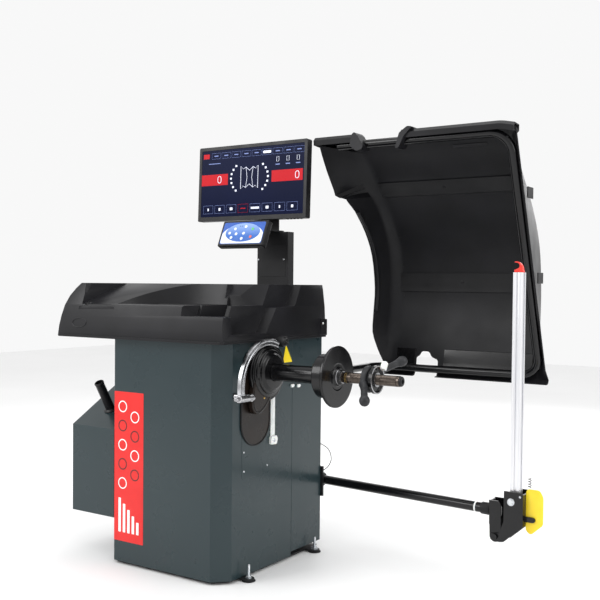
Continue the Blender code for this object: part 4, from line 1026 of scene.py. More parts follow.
# ---------------------------------------------------------------- spindle
def spindle_housing():
    """Enamelled sleeve round the spindle, its foot and its two raised bands."""
    y, z = SPINDLE.y, SPINDLE.z
    profile = [(-0.260, 0.0262), (-0.260, 0.048), (-0.030, 0.048), (-0.024, 0.030), (0.2465, 0.030),
               (0.2465, 0.0262)]
    bm = bmesh.new()
    lathe(bm, profile, (0, y, z), (1, 0, 0), 80, ring=True)
    brick(bm, (-0.230, y - 0.045, 0.6553), (-0.070, y + 0.045, 0.690))
    build("spindle_sleeve", bm, "enamel", "frame", "cast_iron", "bearing_housing", edge=0.0012)
    bm = bmesh.new()
    for x in (0.0530, 0.2390):
        lathe(bm, band(0.0298, 0.0314, 0.0040), (x, y, z), (1, 0, 0), 80, ring=True)
    build("sleeve_bands", bm, "enamel", "frame", "cast_iron", edge=0.0005)


def threaded_shaft():
    """Ground shaft with a real helical thread between its plain ends."""
    y, z = SPINDLE.y, SPINDLE.z
    radius, pitch, depth = 0.0180, sizes().thread_pitch, 0.0007
    first, last, count = 0.366, 0.536, 56
    bm = bmesh.new()
    lathe(bm, [(SHAFT_LOW.x, 0.0), (SHAFT_LOW.x, 0.0125), (0.2500, 0.0125), (0.2500, radius),
               (first - 0.004, radius), (first - 0.003, radius - depth), (first, radius - depth),
               (first, 0.0)], (0, y, z), (1, 0, 0), 64)
    rows = []
    steps = int((last - first) / pitch * 4)
    for step in range(steps + 1):
        x = first + (last - first) * step / steps
        row = []
        for side in range(count):
            share = ((x - first) / pitch - side / count) % 1.0
            sink = depth * (1 - abs(2 * share - 1) ** 0.8)
            angle = 2 * math.pi * side / count
            reach = radius - sink
            row.append(bm.verts.new((x, y + reach * math.cos(angle), z + reach * math.sin(angle))))
        rows.append(row)
    skin(bm, rows)
    lathe(bm, [(last - 0.001, 0.0), (last - 0.001, radius - 0.0012), (last + 0.003, radius - 0.0012),
               (last + 0.004, radius), (SHAFT_HIGH.x - 0.001, radius), (SHAFT_HIGH.x, radius - 0.001),
               (SHAFT_HIGH.x, 0.0)], (0, y, z), (1, 0, 0), 64)
    build("shaft_thread", bm, "ground", "spindle", "machined_steel", "spindle_shaft")
    bm = bmesh.new()
    for x, wide in ((0.3440, 0.0022), (0.3500, 0.0010)):
        lathe(bm, band(0.0178, 0.01803, wide), (x, y, z), (1, 0, 0), 64, ring=True)
    build("shaft_mark", bm, "brass", "spindle", "machined_steel")


def flange_and_cap():
    """Gloss black wheel flange with its drum and bright rings, and the cap on the shaft's end."""
    y, z = SPINDLE.y, SPINDLE.z
    bore, rim = 0.0183, 0.105
    profile = [(0.2500, bore), (0.2475, 0.060), (0.2475, 0.072), (0.2505, 0.075), (0.292, 0.075),
               (0.299, 0.082), (0.299, rim - 0.003), (0.302, rim), (0.309, rim),
               (0.311, rim - 0.002), (0.311, 0.046), (0.3085, 0.044), (0.3085, 0.034),
               (0.311, 0.030), (0.318, 0.027),
               (0.328, 0.024), (0.328, bore)]
    bm = bmesh.new()
    lathe(bm, profile, (0, y, z), (1, 0, 0), 128, ring=True)
    build("flange_disc", bm, "enamel", "spindle", "black_steel", "hub_flange", edge=0.0011, segments=3)
    bm = bmesh.new()
    lathe(bm, band(0.0180, 0.0206, 0.0030), (0.3281, y, z), (1, 0, 0), 64, ring=True)
    lathe(bm, [(0, 0.0262), (0, 0.0278), (0.0020, 0.0272), (0.0020, 0.0258)], (0.3176, y, z), (1, 0, 0),
          96, ring=True)
    build("flange_rings", bm, "turned", "spindle", "machined_steel")
    cap = [(0, 0.0), (0, 0.0165), (0.0050, 0.0165), (0.0080, 0.0140), (0.0080, 0.0075),
           (0.0030, 0.0075), (0.0030, 0.0)]
    bm = bmesh.new()
    lathe(bm, cap, (0.5453, y, z), (1, 0, 0), 48)
    for step in range(6):
        angle = 2 * math.pi * step / 6
        lathe(bm, [(0, 0.0), (0, 0.0016), (0.0006, 0.0010), (0.0006, 0.0)],
              (0.5533, y + 0.0108 * math.cos(angle), z + 0.0108 * math.sin(angle)), (1, 0, 0), 12)
    build("shaft_cap", bm, "moulded", "spindle", "black_plastic", "end_cap", edge=0.0006)


def quick_nut():
    """Body with two ball-ended handles grown together, cup with a bright edge, release tab."""
    y, z = SPINDLE.y, SPINDLE.z
    axis = Vector((0, y, z))
    bm = bmesh.new()
    profile = [(0.417, 0.0243), (0.417, 0.038), (0.421, 0.0445), (0.436, 0.0445), (0.440, 0.0405),
               (0.440, 0.034), (0.4478, 0.034), (0.4478, 0.0243)]
    lathe(bm, profile, axis, (1, 0, 0), 72, ring=True)
    body = keep("nut_grip", bm, "nylon")
    handles = []
    for lean in (23, 203):
        angle = math.radians(lean)
        radial = Vector((0, math.cos(angle), math.sin(angle)))
        root = axis + Vector((0.4285, 0, 0)) + radial * 0.036
        ball = axis + Vector((0.486, 0, 0)) + radial * 0.141
        reach = (ball - root).length
        shape = [(0, 0.0), (0, 0.0170), (reach * 0.12, 0.0140), (reach * 0.35, 0.0108),
                 (reach - 0.024, 0.0118), (reach - 0.013, 0.0158), (reach - 0.003, 0.0175),
                 (reach + 0.007, 0.0158), (reach + 0.014, 0.0098), (reach + 0.0165, 0.0)]
        bm = bmesh.new()
        lathe(bm, shape, root, ball - root, 36)
        handles.append(keep("handle", bm, "nylon"))
    combine(body, handles, "UNION")
    grow = body.modifiers.new("grow", "REMESH")
    grow.mode = "VOXEL"
    grow.voxel_size = 0.0016
    ease = body.modifiers.new("ease", "SMOOTH")
    ease.factor = 0.5
    ease.iterations = 4
    bake(body)
    settle(body, "nut", "nut_plastic", "nut_body")
    bm = bmesh.new()
    cup = [(0.4483, 0.0243), (0.4483, 0.043), (0.452, 0.047), (0.4625, 0.047), (0.4625, 0.042),
           (0.455, 0.038), (0.455, 0.0243)]
    lathe(bm, cup, axis, (1, 0, 0), 96, ring=True)
    build("nut_pressure_cup", bm, "enamel", "nut", "black_paint", "nut_cup", edge=0.0007)
    bm = bmesh.new()
    edge = [(0, 0.0425), (0, 0.0468), (0.0006, 0.0464), (0.0006, 0.0430)]
    lathe(bm, edge, axis + Vector((0.4625, 0, 0)), (1, 0, 0), 96, ring=True)
    build("nut_cup_edge", bm, "turned", "nut", "machined_steel")
    refinish("turned", "nut_core")
    tab = math.radians(62)
    up = Vector((0, math.cos(tab), math.sin(tab)))
    side = Vector((0, math.sin(tab), -math.cos(tab)))
    spot = axis + Vector((0.4723, 0, 0)) + up * 0.0505
    bm = bmesh.new()
    for vert in brick(bm, (-0.5, -0.5, -0.5), (0.5, 0.5, 0.5)):
        x, across, out = vert.co
        vert.co = spot + Vector((x * 0.018, 0, 0)) + side * (across * 0.017) + up * (out * 0.029)
    build("nut_release_tab", bm, "acetal", "nut_tab", "white_plastic", "nut_release", edge=0.0028,
          segments=4)


# ---------------------------------------------------------------- distance gauge
def distance_gauge():
    """Grooved arm bent round the boss, the rod's clamp and the knob at the arm's end."""
    y, z = middle_of("gauge_rod").yz
    centre, radius, plane, depth = (0.165, 0.680), 0.160, 0.055, 0.016
    refinish("turned", "gauge_rod")
    rows = arc(centre, radius - 0.011, 195, 66, 60)
    section = rounded([(-0.008, -0.011), (0.008, -0.011), (0.008, -0.0035), (0.0062, -0.002),
                       (0.0062, 0.002), (0.008, 0.0035), (0.008, 0.011), (-0.008, 0.011)], 0.0025, 3)
    middle = plane + depth / 2
    bm = bmesh.new()
    grid = []
    for a, b in rows:
        out = (Vector((a, b)) - Vector(centre)).normalized()
        grid.append([bm.verts.new((middle + side, a + out.x * rise, b + out.y * rise))
                     for side, rise in section])
    skin(bm, grid)
    build("gauge_arm_bar", bm, "buffed", "gauge_swing_arm", "anodised_aluminium", "gauge_arm")
    bm = bmesh.new()
    clamp = [(0, 0.0), (0, 0.0115), (0.026, 0.0115), (0.028, 0.0135), (0.080, 0.0135),
             (0.082, 0.0115), (0.084, 0.0)]
    lathe(bm, clamp, (middle, 0.083, z), (0, -1, 0.02), 48)
    lathe(bm, [(0, 0.0), (0, 0.0075), (0.012, 0.0075), (0.014, 0.0055), (0.014, 0.0)],
          (middle, -0.001, z + 0.0015), (0, -1, 0.02), 32)
    lathe(bm, disc(0.0125, 0.0180), (plane - 0.0002, y, z), (1, 0, 0), 40)
    build("gauge_rod_end", bm, "turned", "gauge_swing_arm", "anodised_aluminium", edge=0.0008)
    tip_y, tip_z = 0.2435, 0.8265
    knob = [(0, 0.0), (0, 0.014), (0.003, 0.0185), (0.012, 0.0195), (0.026, 0.0185), (0.030, 0.0120),
            (0.036, 0.0105), (0.036, 0.0)]
    bm = bmesh.new()
    lathe(bm, knob, (plane - 0.004, tip_y + 0.008, tip_z), (1, 0, 0), 40)
    lathe(bm, [(0, 0.0), (0, 0.0062), (0.026, 0.0062), (0.030, 0.0090), (0.038, 0.0090), (0.040, 0.007),
               (0.040, 0.0)], (plane + 0.010, tip_y - 0.004, tip_z), (0, 0.96, 0.25), 28)
    build("gauge_knob", bm, "moulded", "gauge_swing_arm", "black_plastic", "gauge_tip", edge=0.0009)
    screws("gauge_knob_screw", [(plane + 0.0320, tip_y + 0.008, tip_z)], (1, 0, 0), 0.0044, "oxide",
           "gauge_swing_arm", "zinc_plate")


# ---------------------------------------------------------------- monitor and keypad
SCREEN_LEFT, SCREEN_RIGHT = -0.2995 - 0.2540, -0.2995 + 0.2540
SCREEN_LOW, SCREEN_HIGH = 1.3015, 1.5755
SCREEN_FRONT = 0.550
PRINT_LIFT = 0.0009


def lean_back(obj):
    """Tip a monitor piece back by its own two degrees, about the tilt hinge."""
    pivot = Vector((-0.2995, 0.6315, 1.436))
    turn = Matrix.Rotation(math.radians(-2.0), 4, "X")
    obj.data.transform(Matrix.Translation(pivot) @ turn @ Matrix.Translation(-pivot))
    return obj


def on_screen(u, v):
    """A place on the screen from its left (u) and lower (v) edges, both from 0 to 1."""
    return SCREEN_LEFT + u * (SCREEN_RIGHT - SCREEN_LEFT), SCREEN_LOW + v * (SCREEN_HIGH - SCREEN_LOW)


def screen_piece(name, bm, key, slot="screen_glass"):
    """A piece of the monitor, tipped back with it."""
    settle(lean_back(keep(name, bm, key)), "monitor", slot)


def screen_bar(bm, u, v, wide, tall, radius=0.0006):
    """A filled bar on the screen; its middle and size are shares of the screen."""
    x, z = on_screen(u, v)
    half, rise = wide * (SCREEN_RIGHT - SCREEN_LEFT) / 2, tall * (SCREEN_HIGH - SCREEN_LOW) / 2
    prism(bm, oblong((x - half, z - rise), (x + half, z + rise), radius, 3), "Y",
          SCREEN_FRONT + PRINT_LIFT, SCREEN_FRONT + 0.0012)


def screen_line(bm, points, wide=0.0011, closed=False):
    """A drawn line on the screen."""
    places = [on_screen(u, v) for u, v in points]
    path = [(x, SCREEN_FRONT + PRINT_LIFT, z) for x, z in places]
    sweep(bm, path, circle(wide / 2, 6), closed=closed)


def screen_frame(bm, u, v, wide, tall, line=0.0009):
    """An outlined field on the screen."""
    screen_line(bm, [(u - wide / 2, v - tall / 2), (u + wide / 2, v - tall / 2),
                     (u + wide / 2, v + tall / 2), (u - wide / 2, v + tall / 2)], line, closed=True)


def monitor_shell():
    """Case with its recess, rear hump, mounting plate, vents and buttons."""
    left, right, low, high = -0.568, -0.031, 1.283, 1.590
    rim = 0.0145
    bm = bmesh.new()
    prism(bm, oblong((left, low), (right, high), 0.006), "Y", SCREEN_FRONT, SCREEN_FRONT + 0.032)
    case = keep("monitor_housing", bm, "moulded")
    bm = bmesh.new()
    prism(bm, oblong((left + rim, low + rim + 0.004), (right - rim, high - rim), 0.002), "Y",
          SCREEN_FRONT - 0.01, SCREEN_FRONT + 0.0030)
    combine(case, [keep("recess", bm, "moulded")], "DIFFERENCE")
    bm = bmesh.new()
    prism(bm, oblong((-0.455, 1.325), (-0.145, 1.545), 0.020), "Y", 0.575, 0.604)
    hump = keep("hump", bm, "moulded")
    bm = bmesh.new()
    prism(bm, oblong((-0.3495, 1.386), (-0.2495, 1.486), 0.006), "Y", 0.600, 0.6215)
    combine(case, [hump, keep("plate", bm, "moulded")], "UNION")
    settle(lean_back(soften(case, 0.0022, 3)), "monitor", "black_plastic", "monitor_case")
    bm = bmesh.new()
    for side in range(2):
        for row in range(12):
            x, z = -0.440 + side * 0.215, 1.345 + row * 0.008
            slot = oblong((x, z), (x + 0.065, 1.349 + row * 0.008), 0.0018, 3)
            prism(bm, slot, "Y", 0.6036, 0.6050)
    screen_piece("monitor_vents", bm, "rubber", "black_plastic")
    bm = bmesh.new()
    for step in range(5):
        x = -0.120 + step * 0.016
        prism(bm, oblong((x - 0.0035, 1.2800), (x + 0.0035, 1.2835), 0.001, 3), "Y",
              SCREEN_FRONT + 0.006, SCREEN_FRONT + 0.012)
        lathe(bm, disc(0.0007, 0.0003), (x, SCREEN_FRONT, 1.2910), (0, -1, 0), 10)
    screen_piece("monitor_buttons", bm, "moulded", "black_plastic")
    refinish("glass", "monitor_screen")


def screen_picture():
    """A plain working picture: two bars with a nought, dots, a rim section and rows of fields."""
    pale, blue, red = bmesh.new(), bmesh.new(), bmesh.new()
    for step in range(10):
        u = 0.045 + step * 0.101
        if step == 0:
            screen_bar(red, u, 0.915, 0.060, 0.070)
        elif step == 6:
            screen_bar(pale, u, 0.915, 0.076, 0.036, 0.0035)
            screen_frame(blue, u, 0.915, 0.090, 0.085)
        else:
            screen_frame(blue, u, 0.915, 0.088, 0.085)
            screen_bar(blue, u, 0.915, 0.040, 0.014)
    for step in range(3):
        u = 0.755 + step * 0.095
        digit = [(u - 0.011, 0.830), (u + 0.011, 0.830), (u + 0.011, 0.765), (u - 0.011, 0.765)]
        screen_line(pale, digit, 0.0016, closed=True)
        screen_bar(blue, u, 0.722, 0.040, 0.014)
    screen_bar(blue, 0.130, 0.800, 0.120, 0.010)
    for u, wide in ((0.135, 0.270), (0.845, 0.290)):
        screen_bar(red, u, 0.555, wide, 0.165)
    for u in (0.185, 0.940):
        loop = [(u + 0.017 * c, 0.555 + 0.050 * math.copysign(abs(s) ** 0.6, s))
                for c, s in circle(1.0, 20)]
        screen_line(pale, loop, 0.0028, closed=True)
    for side in (-1, 1):
        for step in range(7):
            angle = math.radians(-44 + step * 88 / 6)
            u = 0.483 + side * 0.182 * math.cos(angle)
            v = 0.560 + 0.262 * math.sin(angle)
            screen_bar(pale, u, v, 0.017, 0.028, 0.0004)
    rim = [(0.400, 0.400), (0.400, 0.730), (0.425, 0.690), (0.450, 0.715), (0.485, 0.665),
           (0.520, 0.715), (0.545, 0.690), (0.568, 0.730), (0.568, 0.400), (0.545, 0.440),
           (0.520, 0.415), (0.485, 0.465), (0.450, 0.415), (0.425, 0.440)]
    screen_line(pale, rim, 0.0022, closed=True)
    screen_line(pale, [(0.450, 0.715), (0.462, 0.565), (0.450, 0.415)], 0.0018)
    screen_line(pale, [(0.520, 0.715), (0.508, 0.565), (0.520, 0.415)], 0.0018)
    for step in range(8):
        u = 0.075 + step * 0.118
        if step == 3:
            screen_frame(red, u, 0.110, 0.098, 0.120)
            screen_bar(red, u, 0.110, 0.050, 0.012)
            continue
        screen_frame(blue, u, 0.110, 0.098, 0.120, 0.0011)
        if step == 4:
            screen_bar(pale, u, 0.110, 0.080, 0.030)
        else:
            screen_bar(pale, u, 0.110, 0.012 + 0.008 * (step % 3), 0.040, 0.0015)
    screen_piece("screen_marks_pale", pale, "lit_white")
    screen_piece("screen_marks_blue", blue, "lit_blue")
    screen_piece("screen_marks_red", red, "lit_red")


def keypad():
    """Wedge housing, printed film with a pale crescent and a blue oval, and round keys."""
    lean = math.radians(24)
    left, right = -0.388, -0.165
    top = Vector((0, 0.5190, 1.2685))
    down = Vector((0, -math.sin(lean), -math.cos(lean)))
    out = Vector((0, -math.cos(lean), math.sin(lean)))
    height, depth = 0.112, 0.030

    def on_face(u, v, lift=0.0):
        """A place on the face, from its middle: u to the right, v upwards."""
        return (top + down * (height / 2 - v) + out * (depth + lift)
                + Vector(((left + right) / 2 + u, 0, 0)))

    def film(name, outline, low, high, key, slot, *nodes):
        bm = bmesh.new()
        skin(bm, [[bm.verts.new(on_face(u, v, lift)) for u, v in outline] for lift in (low, high)])
        build(name, bm, key, "head", slot, *nodes)

    corners = [top, top + down * height, top + down * height + out * depth, top + out * depth]
    bm = bmesh.new()
    prism(bm, [(c.y, c.z) for c in corners], "X", left, right)
    build("keypad_case", bm, "moulded", "head", "black_plastic", "keypad_housing", edge=0.006,
          segments=4)
    wide, tall = 0.101, 0.047
    base, crescent, oval = 0.0005, 0.0008, 0.0012
    film("keypad_base_film", oblong((-wide, -tall), (wide, tall), 0.007), -0.001, base, "film_deep",
         "blue_membrane", "keypad_membrane")
    ellipse = circle(1.0, 72)
    clipped = [(max(-wide + 0.002, min(wide - 0.002, 0.104 * c)), max(-tall + 0.002, 0.060 * s - 0.020))
               for c, s in ellipse]
    film("keypad_crescent", clipped, base, crescent, "key_pale", "blue_membrane")
    film("keypad_oval", [(0.084 * c, 0.0405 * s + 0.002) for c, s in ellipse], crescent, oval, "film",
         "blue_membrane")
    size = sizes().key_size / 2
    key_cap = [(0, 0.0), (0, size), (0.0010, size * 0.96), (0.0014, size * 0.80),
               (0.0010, size * 0.3), (0.0010, 0.0)]
    groups = {"key_pale": [(-0.063, 0.000), (-0.040, 0.018), (-0.030, -0.004), (-0.050, -0.020),
                           (0.010, 0.027), (0.006, -0.002), (0.002, -0.025)],
              "key_green": [(0.046, 0.016)], "key_red": [(0.044, -0.018)]}
    for key, spots in groups.items():
        bm = bmesh.new()
        for u, v in spots:
            lathe(bm, key_cap, on_face(u, v, oval), out, 28)
        build("keypad_" + key, bm, key, "head", "blue_membrane")
    bm = bmesh.new()
    for u, v in ((-0.018, 0.030), (-0.008, 0.030)):
        lathe(bm, [(0, 0.0), (0, 0.0022), (0.0006, 0.0018), (0.0006, 0.0)], on_face(u, v, oval),
              out, 14)
    build("keypad_lamps", bm, "moulded", "head", "black_plastic")


def post_and_head():
    """Folded post, swivelling bracket, their screws and the lead of the head."""
    creased("monitor_post", "satin", 0.0012, along="Z")
    creased("head_bracket", "satin", 0.0008, fine=0.0005)
    front = box_of("monitor_post")[0].y
    screws("post_screws", [(-0.3085, front, 1.128), (-0.1840, front, 1.129)], (0, -1, 0), 0.0045,
           "zinc", "frame", "zinc_plate")
    bm = bmesh.new()
    prism(bm, oblong((-0.3060, 1.060), (-0.1750, 1.190), 0.006), "Y", front - 0.0010, front)
    build("post_cover", bm, "satin", "frame", "black_paint", edge=0.0004)
    bm = bmesh.new()
    cable = smooth_path([(-0.262, 0.628, 1.330), (-0.258, 0.664, 1.300), (-0.252, 0.672, 1.268),
                         (-0.246, 0.668, 1.251)], 8)
    sweep(bm, cable, circle(0.0035, 12))
    build("head_lead", bm, "rubber", "head", "black_rubber")
    bm = bmesh.new()
    bolt = [(0, 0.0), (0, 0.0048), (0.0030, 0.0048), (0.0036, 0.0040), (0.0036, 0.0)]
    for x, z in ((-0.330, 1.300), (-0.300, 1.420), (-0.270, 1.300), (-0.240, 1.420)):
        lathe(bm, bolt, (x, 0.6481, z), (0, 1, 0), 6)
    build("head_bolts", bm, "zinc", "head", "zinc_plate")


# ---------------------------------------------------------------- wheel guard
FRAME_LOW, FRAME_HIGH = Vector((0.0, 0.960, 0.693)), Vector((0.0, 0.610, 1.560))
# Each row of the shell: the left wall's x, its free edge's y and z, the back panel's y and z.
GUARD_ROWS = [(-0.020, 0.622, 1.570, 0.700, 1.545), (-0.020, 0.680, 1.478, 0.752, 1.500),
              (-0.020, 0.745, 1.388, 0.806, 1.440), (0.050, 0.712, 1.366, 0.862, 1.386),
              (0.060, 0.765, 1.322, 0.926, 1.318), (0.060, 0.848, 1.245, 0.983, 1.236),
              (0.060, 0.910, 1.149, 1.018, 1.146), (0.060, 0.937, 1.019, 1.032, 1.019),
              (0.060, 0.928, 0.922, 1.027, 0.922), (0.062, 0.918, 0.835, 1.013, 0.835),
              (0.070, 0.950, 0.762, 0.999, 0.766), (0.082, 0.972, 0.716, 0.990, 0.712)]


def frame_depth(z):
    """Depth of the right frame tube at a height."""
    share = (z - FRAME_LOW.z) / (FRAME_HIGH.z - FRAME_LOW.z)
    return FRAME_LOW.y + share * (FRAME_HIGH.y - FRAME_LOW.y)


def guard_faces():
    """The finished shell as a search tree, so its fittings lie on its real surface."""
    mesh = bpy.data.objects["guard_shell"].data
    return BVHTree.FromPolygons([v.co for v in mesh.vertices], [p.vertices[:] for p in mesh.polygons])


def guard_depth(tree, x, z):
    """Depth of the shell's inner face at a width and a height."""
    return tree.ray_cast(Vector((x, 0.300, z)), Vector((0, 1, 0)))[0].y


def softened_row(points, reach, steps=4):
    """The same number of points for every row: each inner corner becomes a curve."""
    row = [Vector(points[0])]
    for before, corner, after in zip(points, points[1:], points[2:]):
        before, corner, after = Vector(before), Vector(corner), Vector(after)
        back = min(reach, (before - corner).length * 0.48)
        ahead = min(reach, (after - corner).length * 0.48)
        first = corner + (before - corner).normalized() * back
        last = corner + (after - corner).normalized() * ahead
        row += eased(first, corner, last, steps)
    row.append(Vector(points[-1]))
    return row


def guard_shell():
    """Concave formed shell, its lip over the top tube, then its wall, notch and cut-away."""
    turn, share_out = 0.018, 3
    rows = []
    for y, z in [(0.580, 1.566), (0.578, 1.585), (0.590, 1.597), (0.640, 1.594), (0.672, 1.572)]:
        ends = [(-0.020, y, z), (0.030, y, z), (0.110, y, z), (0.735, y, z),
                (0.782, min(y, 0.632), z - 0.010)]
        rows.append(softened_row(ends, turn))
    fine = smooth_path([Vector((r[1], r[2], 0)) for r in GUARD_ROWS], share_out)
    back = smooth_path([Vector((r[3], r[4], 0)) for r in GUARD_ROWS], share_out)
    for step, (edge, panel) in enumerate(zip(fine, back)):
        index, share = divmod(step, share_out)
        here = GUARD_ROWS[index][0]
        ahead = GUARD_ROWS[min(index + 1, len(GUARD_ROWS) - 1)][0]
        x = here + (ahead - here) * share / share_out
        y, z = panel.x, panel.y
        near = min(frame_depth(edge.y) - 0.008, y - 0.030)
        # The wall turns in over a deep step, which fades out at the foot.
        inset = 0.022 if z > 0.800 else 0.004
        ends = [(x, edge.x, edge.y), (0.104, y - inset, z), (0.138, y, z), (0.735, y, z),
                (0.785, near, edge.y)]
        rows.append(softened_row(ends, turn))
    for y, z in [(0.982, 0.676), (0.972, 0.662), (0.955, 0.660)]:
        ends = [(0.090, y, z), (0.104, y, z), (0.138, y, z), (0.735, y, z), (0.785, y, z)]
        rows.append(softened_row(ends, turn))
    bm = bmesh.new()
    verts = [[bm.verts.new(spot) for spot in row] for row in rows]
    for upper, lower in zip(verts, verts[1:]):
        for step in range(len(upper) - 1):
            bm.faces.new((upper[step], lower[step], lower[step + 1], upper[step + 1]))
    shell = keep("guard_shell", bm, "abs")
    thick = shell.modifiers.new("skin", "SOLIDIFY")
    thick.thickness = sizes().guard_wall
    thick.offset = -1.0
    bake(shell)
    bm = bmesh.new()
    prism(bm, rounded([(0.230, 0.60), (0.230, 0.735), (0.243, 0.742), (0.252, 0.760), (0.285, 0.760),
                       (0.297, 0.738), (0.326, 0.728), (0.330, 0.60)], 0.010), "Y", 0.90, 1.10)
    notch = keep("notch", bm, "abs")
    bm = bmesh.new()
    brick(bm, (0.170, 0.560, 1.545), (0.352, 0.660, 1.640))
    combine(shell, [notch, keep("away", bm, "abs")], "DIFFERENCE")
    soften(shell, 0.0009, 2, 40)
    settle(shell, "hood", "black_plastic", "hood_cover")


def guard_strip(name, tree, left, right, high, low, thick, key):
    """A plate that lies on the shell's curve, a little proud of it and let in behind."""
    sunk = -0.0015
    count, columns = 8, 10
    bm = bmesh.new()
    front, rear = [], []
    for grid, lift in ((front, thick), (rear, sunk)):
        for step in range(count + 1):
            z = high + (low - high) * step / count
            row = []
            for column in range(columns + 1):
                x = left + (right - left) * column / columns
                row.append(bm.verts.new((x, guard_depth(tree, x, z) - lift, z)))
            grid.append(row)
    for grid in (front, rear):
        for upper, lower in zip(grid, grid[1:]):
            for a, b, c, d in zip(upper, lower, lower[1:], upper[1:]):
                bm.faces.new((a, b, c, d))
    rims = [(front[0], rear[0]), (front[-1], rear[-1])]
    rims += [([row[side] for row in front], [row[side] for row in rear]) for side in (0, -1)]
    for near, far in rims:
        for a, b, c, d in zip(near, near[1:], far[1:], far):
            bm.faces.new((a, b, c, d))
    build(name, bm, key, "hood", "black_plastic", edge=0.0012)


def guard_details():
    """Cross bands, lower gloss panels, handle slot, edge roll, tube clips, lip end and screws."""
    tree = guard_faces()
    plate, gloss = 0.0060, 0.0040
    guard_strip("guard_band_upper", tree, 0.142, 0.728, 1.432, 1.382, plate, "moulded")
    guard_strip("guard_band_lower", tree, 0.142, 0.728, 1.080, 1.004, plate, "moulded")
    guard_strip("guard_panel_right", tree, 0.352, 0.720, 0.772, 0.706, gloss, "enamel")
    guard_strip("guard_panel_left", tree, 0.142, 0.226, 0.770, 0.706, gloss, "enamel")
    guard_strip("guard_handle_slot", tree, 0.508, 0.640, 1.5430, 1.5350, 0.0030, "satin")
    spots = []
    proud, near = 0.0004, 0.01
    for x, z, lift in ((0.4155, 1.4068, plate), (0.4145, 1.0449, plate), (0.1560, 1.4532, 0.0),
                       (0.1500, 1.1059, 0.0), (0.1520, 0.9861, 0.0), (0.1500, 1.2276, 0.0)):
        spots.append((x, guard_depth(tree, x, z) - lift - proud, z))
    for number, (x, y, z) in enumerate(spots):
        slope = (guard_depth(tree, x, z - near) - guard_depth(tree, x, z + near)) / (2 * near)
        big = 0.0062 if number < 2 else 0.0035
        screws(f"guard_screw_{number}", [(x, y, z)], (0, -1, -slope), big, "satin", "hood",
               "zinc_plate")
    bm = bmesh.new()
    edge = [Vector((r[0] + 0.012, r[1] + 0.006, r[2])) for r in GUARD_ROWS[4:9]]
    sweep(bm, smooth_path(edge, 6), [(0.007 * c, 0.009 * s) for c, s in circle(1.0, 14)])
    build("guard_edge_roll", bm, "abs", "hood", "black_plastic")
    bm = bmesh.new()
    low_clip = [(0.146, 1.552), (0.150, 1.590), (0.163, 1.603), (0.176, 1.592), (0.203, 1.548),
                (0.196, 1.535), (0.172, 1.531)]
    high_clip = [(0.336, 1.529), (0.351, 1.530), (0.372, 1.572), (0.404, 1.603), (0.384, 1.606),
                 (0.352, 1.584)]
    for outline in (low_clip, high_clip):
        prism(bm, rounded(outline, 0.006), "Y", 0.571, FRAME_HIGH.y + 0.020)
    build("guard_tube_clips", bm, "abs", "hood", "black_plastic", edge=0.003, segments=3)
    bm = bmesh.new()
    prism(bm, [(0.5800, 1.5660), (0.5780, 1.5850), (0.5900, 1.5965), (0.6400, 1.5935), (0.6720, 1.5720),
               (0.6720, 1.5600)], "X", -0.0200, -0.0165)
    build("guard_lip_end", bm, "abs", "hood", "black_plastic", edge=0.0012)
    bm = bmesh.new()
    for z in (1.360, 1.060):
        y = frame_depth(z)
        brick(bm, (0.7845, y + 0.020, z - 0.020), (0.7890, y + 0.075, z + 0.020))
    build("guard_side_clips", bm, "satin", "hood", "black_plastic", edge=0.0012)


def guard_frame():
    """Bent guard tube, hinge block, hinge shaft and bolts."""
    bend, tube = 0.075, 0.016
    corners = [Vector((0.053, 0.639, 0.690)), Vector((0.053, FRAME_LOW.y, FRAME_LOW.z)),
               Vector((0.757, FRAME_LOW.y, FRAME_LOW.z)), Vector((0.757, FRAME_HIGH.y, FRAME_HIGH.z)),
               Vector((0.075, FRAME_HIGH.y, FRAME_HIGH.z))]
    bm = bmesh.new()
    sweep(bm, bent_path(corners, bend), circle(tube, 32))
    build("guard_tube", bm, "enamel", "hood", "black_paint", "hood_frame", edge=0.002)
    refinish("casting", "hood_hinge_block")
    refinish("oxide", "hood_shaft")
    block_low, block_high = box_of("hood_hinge_block")
    spots = [(x, block_high.y, z) for x in (block_low.x + 0.016, block_high.x - 0.016)
             for z in (block_low.z + 0.014, block_high.z - 0.014)]
    bm = bmesh.new()
    for spot in spots:
        lathe(bm, [(0, 0.0), (0, 0.0068), (0.0045, 0.0068), (0.0055, 0.0055), (0.0055, 0.0)], spot,
              (0, 1, 0), 6)
    build("hinge_bolts", bm, "zinc", "frame", "zinc_plate", edge=0.0005)


